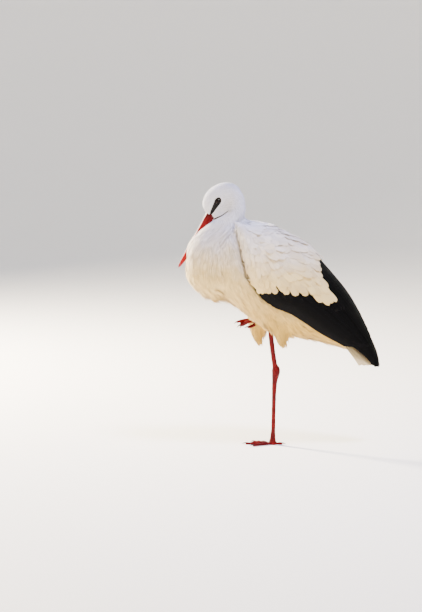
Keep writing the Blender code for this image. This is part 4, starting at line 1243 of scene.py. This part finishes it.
def white_vane():
    """White contour feathers with a full vane: matt, smooth, faintly silky, more cream low on the bird,
    partly stain and partly painted warm bounce light.
    """
    material, shader, tint = feather_finish(
        "white_vane", "#e3e0dd", "#ffffff", Roughness=0.6, Sheen_Weight=0.3, Specular_IOR_Level=0.25
    )
    sockets = [("Factor", 1.0), (MIX_SECOND, tint)]
    colour = add(material, "Mix", sockets, data_type="RGBA", blend_type="MULTIPLY")
    # base colour with painted light: warm bounce low, cool sky above, over real staining
    link(material, stain_and_painted_light_by_height(material), colour, MIX_FIRST)
    link(material, colour.outputs[MIX_RESULT], shader, "Base Color")
    return material


def black_vane():
    """Flight feathers full of melanin: near black, with a low oily gloss along the vane."""
    material, shader, tint = feather_finish(
        "black_vane", "#010101", "#040405", Roughness=0.55, Specular_IOR_Level=0.05
    )
    link(material, tint, shader, "Base Color")
    return material


WHITE_VANE, BLACK_VANE = white_vane(), black_vane()

COVERT_REACH = 0.36  # how far ahead of their rear edge the rows of white coverts go
COVERT_TOP, COVERT_STAGGER = 0.20, 0.006  # v of the uppermost in a row, and how much lower in every other
COVERT_BOTTOM, COVERT_FRONT = 1.015, 0.052  # none past this v, or ahead of this t
COVERT_LENGTHS = (0.018, 0.070)  # the least, at the shoulder, and the most
COVERT_BESIDE = 1.15  # the next in a row is this many half widths on
EVEN_OVER, EVEN_START = 0.14, 0.34  # the notch of the rear edge is lost over so far, below this v
ROW_SHOWN, ROW_LESS, ROW_LEAST = 0.022, 0.032, 0.0085  # what shows of the rearmost row, and ahead of it
COVERT_DEPTHS, COVERT_RUFFLE = (0.0036, 0.0002), 0.0026  # depths at the root and the tip
BLACK_COVERTS = np.arange(0.30, 0.94, 0.045)  # v of the few black coverts that show behind the white
BLACK_SHOWN, BLACK_LENGTH, BLACK_HALF = 0.026, 0.085, 0.0105
BLACK_DEPTHS = (0.0052, 0.0026)


def covert_half(length):
    """Half the width of a covert of a given length."""
    return 0.0020 + 0.115 * length


def covert_rows():
    """Tips (t, v) of the white coverts, with lengths, row by row from the rear edge to the shoulder."""
    rng = np.random.default_rng(20)
    tips = []
    back, row = 0.0, 0
    while back < COVERT_REACH:
        v = COVERT_TOP + (COVERT_STAGGER if row % 2 else 0.0)
        while v < COVERT_BOTTOM:
            evened = min(back / EVEN_OVER, 1) * np.clip((v - EVEN_START) / 0.12, 0, 1)
            t = reading(COVERT_END, min(v, 1.0)) * (1 - evened) + (0.36 - 0.115 * v) * evened - back
            length = np.clip(0.022 + 0.19 * (t - 0.06), *COVERT_LENGTHS)
            if t > COVERT_FRONT:
                tips.append((t + rng.uniform(-0.09, 0.05) * length, v, length))
            v += COVERT_BESIDE * covert_half(length) / float(girth(np.array(max(t, 0.07)), np.array(v)))
        back += max(ROW_SHOWN - ROW_LESS * max(back - 0.02, 0), ROW_LEAST)
        row += 1
    return np.array(tips).T


def covert_feathers(word, side):
    """The white coverts, which are returned, and the black ones that show behind them."""
    t, v, length = covert_rows()
    white = vanes(
        f"wing_{word}_white_coverts",
        side,
        t,
        v,
        np.radians(reading(COVERT_HEADING, v)),
        length,
        covert_half(length),
        COVERT_DEPTHS,
        WHITE_VANE,
        21,
        COVERT_RUFFLE,
    )
    v = BLACK_COVERTS
    vanes(
        f"wing_{word}_black_coverts",
        side,
        reading(COVERT_END, v) + BLACK_SHOWN,
        v,
        np.radians(reading(COVERT_HEADING, v)) * 0.5,
        np.full(len(v), BLACK_LENGTH),
        np.full(len(v), BLACK_HALF),
        BLACK_DEPTHS,
        BLACK_VANE,
        22,
    )
    return white


SCAPULAR_ROWS = (0.0, 0.022, 0.044, 0.066, 0.088, 0.110, 0.130, 0.150, 0.168, 0.186, 0.202)  # from the rear
SCAPULAR_DEPTHS, SCAPULAR_RUFFLE = (0.0026, -0.0016), 0.0052
RIDGE_ANGLE = 93  # degrees round the wing: none past the back's ridge


def scapulars(word, side):
    """Long white feathers from the back, over the upper edge of the folded wing, a little ruffled."""
    tips = []
    for row, back in enumerate(SCAPULAR_ROWS):
        for v in np.arange(0.43 - 0.03 * (row % 2), -0.40, -0.07):
            t = reading(SCAPULAR_END, v) - back * (1 - 0.3 * max(v, 0))
            inner_edge = follow(WING, np.array([t]))[0, 3]
            if inner_edge + v * (math.degrees(WING_LOW_ANGLE) - inner_edge) < RIDGE_ANGLE:
                tips.append((t, v))
    t, v = np.array(tips).T
    length = np.clip(0.030 + 0.25 * (t - 0.06), 0.030, 0.095)
    vanes(
        f"wing_{word}_scapulars",
        side,
        t,
        v,
        np.radians(np.interp(v, (-0.3, 0.4), (-3, 9))),
        length,
        0.0040 + 0.090 * length,
        SCAPULAR_DEPTHS,
        WHITE_VANE,
        23,
        SCAPULAR_RUFFLE,
    )


def flight_feathers(name, side, count, span, tips, half, taper, roots, depth, lap, seed):
    """A fan of long feathers at even v, which narrow with the wing and lap downwards like tiles."""
    rng = np.random.default_rng(seed)
    middle = span[0] + (span[1] - span[0]) * (np.arange(count) + 0.5) / count
    tip = np.interp(middle, np.linspace(*span, len(tips)), tips) + rng.uniform(-0.002, 0.002, count)
    first = roots(middle)
    s = np.linspace(0, 1, 15)[:, None]
    x = ACROSS[None]
    wide = half * np.interp(s, (0, 0.2, 0.8, 1), (0.6, 1, 0.95, taper))
    metres = wide * by_feather(girth(tip - 0.05, middle, side))
    rounded = metres * 1.2 * tip_curve(x, 0.9) + rng.uniform(0, 0.0015, (count, 1, len(ACROSS)))
    along = by_feather(tip - first) * s - s**7 * rounded
    t = by_feather(first) + along
    v = by_feather(middle) + x * wide
    v = np.where(v < 0, 0.15 * v, v)  # the uppermost is held back at the back's ridge
    deep = depth(t, v) - x * lap
    return vane_sheet(name, wing_place, t, v, deep, side, x * metres, along, BLACK_VANE, rng)


PRIMARY_ROOTS = 0.44
HIDDEN = 0.028  # how far under the white coverts the tertials and secondaries start


def under_coverts(v):
    """t of the roots of the tertials and secondaries."""
    return np.minimum(reading(COVERT_END, v) - HIDDEN, PRIMARY_ROOTS)


def at_wrist(v):
    """t of the roots of the primaries."""
    return np.full(len(v), PRIMARY_ROOTS)


def tertial_depth(t, v):
    """The tertials lie over the others, at one depth under the coverts."""
    return 0.0033 + 0 * t


def secondary_depth(t, v):
    """The secondaries lie at the outside low on the wing, and under the tertials above."""
    return 0.0036 + 0.0026 * np.clip((0.45 - v) / 0.07, 0, 1)


def primary_depth(t, v):
    """The primaries come out from under the other layers towards the tip."""
    return 0.0085 - 0.0030 * np.clip((t - 0.585) / 0.04, 0, 1)


FLIGHT_FEATHERS = {
    "tertials": {
        "count": 7,
        "span": (0.004, 0.40),
        "tips": (0.500, 0.530, 0.560, 0.582, 0.578),
        "half": 0.060,
        "taper": 0.80,
        "roots": under_coverts,
        "depth": tertial_depth,
        "lap": 0.0007,
        "seed": 24,
    },
    "secondaries": {
        "count": 20,
        "span": (0.31, 1.0),
        "tips": (0.584, 0.578, 0.571, 0.560, 0.548, 0.534, 0.516),
        "half": 0.042,
        "taper": 0.80,
        "roots": under_coverts,
        "depth": secondary_depth,
        "lap": 0.0008,
        "seed": 25,
    },
    "primaries": {
        "count": 8,
        "span": (0.00, 0.84),
        "tips": (0.606, 0.628, 0.638, 0.632, 0.618),
        "half": 0.115,
        "taper": 0.60,
        "roots": at_wrist,
        "depth": primary_depth,
        "lap": 0.0009,
        "seed": 26,
    },
}


for word, side in SIDES:
    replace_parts(covert_feathers(word, side), f"wing_{word}_coverts")
    scapulars(word, side)
    for layer, feathers in FLIGHT_FEATHERS.items():
        fan = flight_feathers(f"wing_{word}_{layer}_feathers", side, **feathers)
        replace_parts(fan, f"wing_{word}_{layer}")


# ---------------------------------------------------------------- tail
# Twelve stiff white feathers side by side on an arched sheet, the middle pair uppermost and longest.
TAIL_ROOT, TAIL_END = 0.430, 0.624
TAIL_HALF = (0.019, 0.043)  # half width at the root and at the tip
TAIL_RISE, TAIL_SLOPE = 0.0368, 0.060  # height of the tail's ridge at the root, and its fall to the tip
TAIL_ARCH = (9.0, 13.5)  # how steeply the sheet falls away beside the ridge, at the root and at the tip
TAIL_COUNT = 6  # feathers on each side
TAIL_STEP = 0.040  # how much shorter the outermost would be than the middle of the tail
TAIL_VANE_HALF, TAIL_VANE_GROWTH = 0.0060, 0.0030
TAIL_LAP = 0.0005


def tail_place(t, y, depth, side):
    """Places on the tail's arched sheet, y out from its ridge."""
    t, y, depth = np.broadcast_arrays(t, y, depth)
    arch = np.interp(t, (TAIL_ROOT, TAIL_END), TAIL_ARCH)
    return body_place(t, side * y, TAIL_RISE - TAIL_SLOPE * (t - TAIL_ROOT) - arch * y * y - depth)


def tail_vane_stain_and_bounce():
    """Tail feathers: the same silky vane as the wing's, of one even tan cream, partly stain and partly
    painted warm light bounced up from the ground.
    """
    # tan cream: partly stain, partly painted warm bounce light
    material, shader, tint = feather_finish(
        "tail_vane_stain_and_bounce", "#cfb57c", "#efd9a6", Roughness=0.6, Sheen_Weight=0.3, Specular_IOR_Level=0.25
    )
    link(material, tint, shader, "Base Color")
    return material


TAIL_VANE = tail_vane_stain_and_bounce()


def tail_feathers(word, side):
    """Half of the tail, from the middle out, each feather a little under the one before."""
    rng = np.random.default_rng(41)
    share = by_feather((np.arange(TAIL_COUNT) + 0.5) / TAIL_COUNT)
    tip = TAIL_END - TAIL_STEP * share**2
    s = np.linspace(0, 1, 13)[:, None]
    x = ACROSS[None]
    half = TAIL_VANE_HALF + TAIL_VANE_GROWTH * s
    rounded = 0.011 * tip_curve(x, 0.92) + rng.uniform(0, 0.0012, (TAIL_COUNT, 1, len(ACROSS)))
    t = TAIL_ROOT + (tip - TAIL_ROOT) * s - s**7 * rounded
    y = np.maximum(share * (TAIL_HALF[0] + (TAIL_HALF[1] - TAIL_HALF[0]) * s) + x * half, 0.0)
    depth = share * 0.0012 - x * TAIL_LAP
    name = f"tail_feathers_{word}"
    return vane_sheet(name, tail_place, t, y, depth, side, x * half, t - TAIL_ROOT, TAIL_VANE, rng)


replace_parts(tail_feathers("left", -1), "tail")
tail_feathers("right", 1)


# ---------------------------------------------------------------- claws and scales of the legs
# Short blunt claws of dark horn, and small six-sided horny plates set close together on the bare legs, so
# that the skin between them shows as fine creases.
CLAW_HALF, CLAW_TAPER, CLAW_ARCH = 0.0030, 0.80, 0.0010
CLAW_HIDDEN = 0.0045  # how far it goes into the toe
CLAW_BELOW = 0.45  # its depth below the middle, as a share of that above
CLAW_CLOSING = 0.3  # the share of its rounding over which its ends close


def claw_material():
    """Dark brown horn, worn paler and duller at the point."""
    material, shader = new_material("claw_horn", Roughness=0.4, Specular_IOR_Level=0.4)
    worn = add(material, "Attribute", attribute_name="tint").outputs["Fac"]
    place = add(material, "TexCoord").outputs["Object"]
    grain = add(material, "TexNoise", [("Vector", place)], Scale=500.0, Detail=3.0).outputs["Fac"]
    brown = add(material, "ValToRGB", [("Fac", worn)], ((0.0, "#170d0a"), (1.0, "#4a3328")))
    link(material, brown.outputs["Color"], shader, "Base Color")
    bump = add(material, "Bump", [("Height", grain)], Strength=0.3, Distance=0.0002)
    link(material, bump.outputs["Normal"], shader, "Normal")
    return material


CLAW_HORN = claw_material()


def claw(foot, toe):
    """A claw from inside the toe's end to the point of the solid it replaces, arched and flat below."""
    solid = points_of(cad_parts[f"claw_{foot}_{toe}"].data)
    middle = points_of(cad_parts[f"toe_{foot}_{toe}"].data).mean(axis=0)
    far = np.linalg.norm(solid - middle, axis=1)
    root, tip = solid[far < far.min() + 0.0012].mean(axis=0), solid[far.argmax()]
    ahead = unit(tip - root)
    aside = unit(np.cross(ahead, [0, 0, 1]))
    up = np.cross(aside, ahead)
    piece, share, angle, rounding = drawn_sphere(f"claw_horn_{foot}_{toe}", 16, 16, CLAW_HORN)
    length = np.linalg.norm(tip - root) + CLAW_HIDDEN
    wide = CLAW_HALF * np.clip(rounding / CLAW_CLOSING, 0, 1) * (1 - CLAW_TAPER * share**1.5)
    height = wide * np.where(np.sin(angle) > 0, 1.0, CLAW_BELOW) * np.sin(angle)
    arch = CLAW_ARCH * np.sin(share * math.pi)
    centre = root - ahead * CLAW_HIDDEN + ahead * (length * share)[:, None] + up * arch[:, None]
    points = centre + aside * (wide * np.cos(angle))[:, None] + up * height[:, None]
    points[:, 2] = np.maximum(points[:, 2], 0.0)
    set_points(piece, points)
    set_shade(piece, share)
    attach(piece, "root")
    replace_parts(piece, f"claw_{foot}_{toe}")


for foot, toe in TOES:
    claw(foot, toe)

PLATE_SPACING, PLATE_RISE, PLATE_SIDES = 0.0034, 0.00035, 6
PLATE_ROWS = ((0.92, -0.0006), (1.0, 0.2), (0.55, 1.0))  # share of the plate's width, height as a share
PLATE_CAP = [(0, 1, 2, 3), (0, 3, 4, 5)]
PLATE_APART = 0.86  # the least distance between plates, as a share of their spacing
PLATE_HALF, PLATE_SPREAD = 0.53, (0.9, 1.08)  # half width as a share of the spacing, and how it differs
PLATE_TRIES, PLATE_SHIFT = 8, 0.0012  # places tried for each plate, and how far one is from a face's middle
PLATE_LOWEST = 0.0015  # none under the sole


def scale_material():
    """Small horny scales, waxy red and each a little different, some dulled by dried mud and droppings."""
    material, shader = new_material("red_leg_scales", Roughness=0.45, Specular_IOR_Level=0.1)
    tint = add(material, "Attribute", attribute_name="tint").outputs["Fac"]
    place = add(material, "TexCoord").outputs["Object"]
    stain = add(material, "TexNoise", [("Vector", place)], Scale=40.0, Detail=4.0).outputs["Fac"]
    terms = [(0, tint), (1, 0.25), (2, stain)]
    uneven = add(material, "Math", terms, operation="MULTIPLY_ADD").outputs["Value"]
    red = add(material, "ValToRGB", [("Fac", uneven)], ((0.38, "#300105"), (0.92, "#6e0207")))
    link(material, red.outputs["Color"], shader, "Base Color")
    return material


def plate_places(rng):
    """Places on the bare legs, about evenly spaced."""
    faces = skin.data.polygons
    bare = all_of(faces, "material_index", kind=int) == 1
    centres, sizes = all_of(faces, "center", 3)[bare], all_of(faces, "area")[bare]
    tries = int(sizes.sum() / PLATE_SPACING**2 * PLATE_TRIES)
    spots = centres[rng.choice(len(centres), tries, p=sizes / sizes.sum())]
    spots = nearest(SKIN_TREE, spots + rng.uniform(-PLATE_SHIFT, PLATE_SHIFT, spots.shape))[0]
    spots = spots[spaced(spots, np.full(tries, PLATE_SPACING * PLATE_APART))]
    return spots[spots[:, 2] > PLATE_LOWEST]


def leg_plates():
    """All the plates as one piece, each a low six-sided dome with its foot in the skin."""
    rng = np.random.default_rng(51)
    place, up = nearest(SKIN_TREE, plate_places(rng))[:2]
    aside = unit(np.cross(up, [0.05, 0.0, 1.0]))
    along = np.cross(aside, up)
    turn = np.arange(PLATE_SIDES) / PLATE_SIDES * 2 * math.pi + math.pi / PLATE_SIDES
    out = aside[:, None] * np.cos(turn)[:, None] + along[:, None] * np.sin(turn)[:, None]
    size = PLATE_SPACING * PLATE_HALF * rng.uniform(*PLATE_SPREAD, len(place))
    rows = []
    for wide, rise in PLATE_ROWS:
        rows.append(place[:, None] + out * by_feather(size * wide) + up[:, None] * rise * PLATE_RISE)
    rings = np.stack(rows, axis=1)
    vane = np.stack([np.cos(turn), np.sin(turn)], axis=-1) * PLATE_SPACING / 2
    vane = np.broadcast_to(vane, (*rings.shape[:3], 2))
    piece = joined_bodies("leg_scales", rings, PLATE_CAP, place, rng.random(len(place)), vane)
    piece.data.materials.append(scale_material())


leg_plates()


# ---------------------------------------------------------------- floor, light and camera
# A pale seamless studio bowl, a strong soft key light low behind the bird's left front, a cool fill from
# above on the near side, and a warm glow from below as off a pale floor in sun.
BOWL = ((7.0, 0.0), (8.2, 0.25), (9.2, 0.9), (9.8, 1.9), (10.0, 3.2), (10.0, 7.0))  # radius, height
LIGHT_AIM = Vector((-0.05, 0.0, 0.45))
LIGHTS = (  # name, place, size, power, colour
    ("key", (-2.7, 2.0, 2.0), 0.6, 1250, "#fff0d6"),
    ("sky", (0.8, -1.0, 3.3), 0.8, 190, "#cdd1ff"),
    ("glow", (-1.6, -2.0, 0.3), 1.0, 26, "#ffd682"),
)


def studio_paint():
    """Matt off-white wall paint, which glows a little so that it stays even and pale."""
    paint = {"Base_Color": linear("#efedea"), "Roughness": 0.9}
    glow = {"Emission_Color": linear("#f4f3f0"), "Emission_Strength": 0.36}
    return new_material("studio_paint", **paint, **glow)[0]


def studio_bowl():
    """A round floor whose rim is drawn out and up in steps, shaded smooth."""
    bpy.ops.object.select_all(action="DESELECT")
    bpy.ops.mesh.primitive_circle_add(vertices=128, radius=BOWL[0][0], fill_type="NGON")
    bowl = bpy.context.object
    bowl.name = "floor"
    bpy.ops.object.mode_set(mode="EDIT")
    bpy.ops.mesh.select_mode(type="EDGE")
    for (radius, height), (wider, higher) in zip(BOWL, BOWL[1:]):
        bpy.ops.mesh.select_all(action="DESELECT")
        shape = bmesh.from_edit_mesh(bowl.data)
        for edge in shape.edges:
            edge.select = edge.is_boundary
        bmesh.update_edit_mesh(bowl.data)
        bpy.ops.mesh.extrude_edges_move(TRANSFORM_OT_translate={"value": (0, 0, higher - height)})
        bpy.ops.transform.resize(value=(wider / radius, wider / radius, 1))
    bpy.ops.object.mode_set(mode="OBJECT")
    bowl.data.shade_smooth()
    bowl.data.materials.append(studio_paint())


def studio_air():
    """A faint cool light from all round."""
    world = bpy.data.worlds.new("studio")
    world.use_nodes = True
    back = world.node_tree.nodes["Background"]
    back.inputs["Color"].default_value = linear("#eef0fa")
    back.inputs["Strength"].default_value = 0.38
    bpy.context.scene.world = world


def turned_along(direction):
    """The rotation of a light or camera that looks in a direction and stays level."""
    return direction.to_track_quat("-Z", "Y").to_euler()


def studio_light(name, place, size, power, colour):
    """A round soft light turned to the bird."""
    lamp = bpy.data.lights.new(name, "AREA")
    lamp.shape, lamp.size, lamp.energy = "DISK", size, power
    lamp.color = linear(colour)[:3]
    light = placed(name, lamp)
    light.location = place
    light.rotation_euler = turned_along(LIGHT_AIM - Vector(place))


studio_bowl()
studio_air()
for light_plan in LIGHTS:
    studio_light(*light_plan)

CAMERA_TARGET = Vector((-0.1798, 0.0, 0.4071))
CAMERA_ELEVATION = math.radians(6.5)
CAMERA_DISTANCE = 6.0
FRAME_HEIGHT = 612
ROW_HEIGHT = 0.0029  # metres at the bird for each row of the frame
SENSOR = 36.0

lens = bpy.data.cameras.new("camera")
lens.sensor_width = SENSOR
lens.lens = SENSOR * CAMERA_DISTANCE / (FRAME_HEIGHT * ROW_HEIGHT)
camera = placed("camera", lens)
back = Vector((0, -math.cos(CAMERA_ELEVATION), math.sin(CAMERA_ELEVATION)))
camera.location = CAMERA_TARGET + back * CAMERA_DISTANCE
camera.rotation_euler = turned_along(-back)
bpy.context.scene.camera = camera
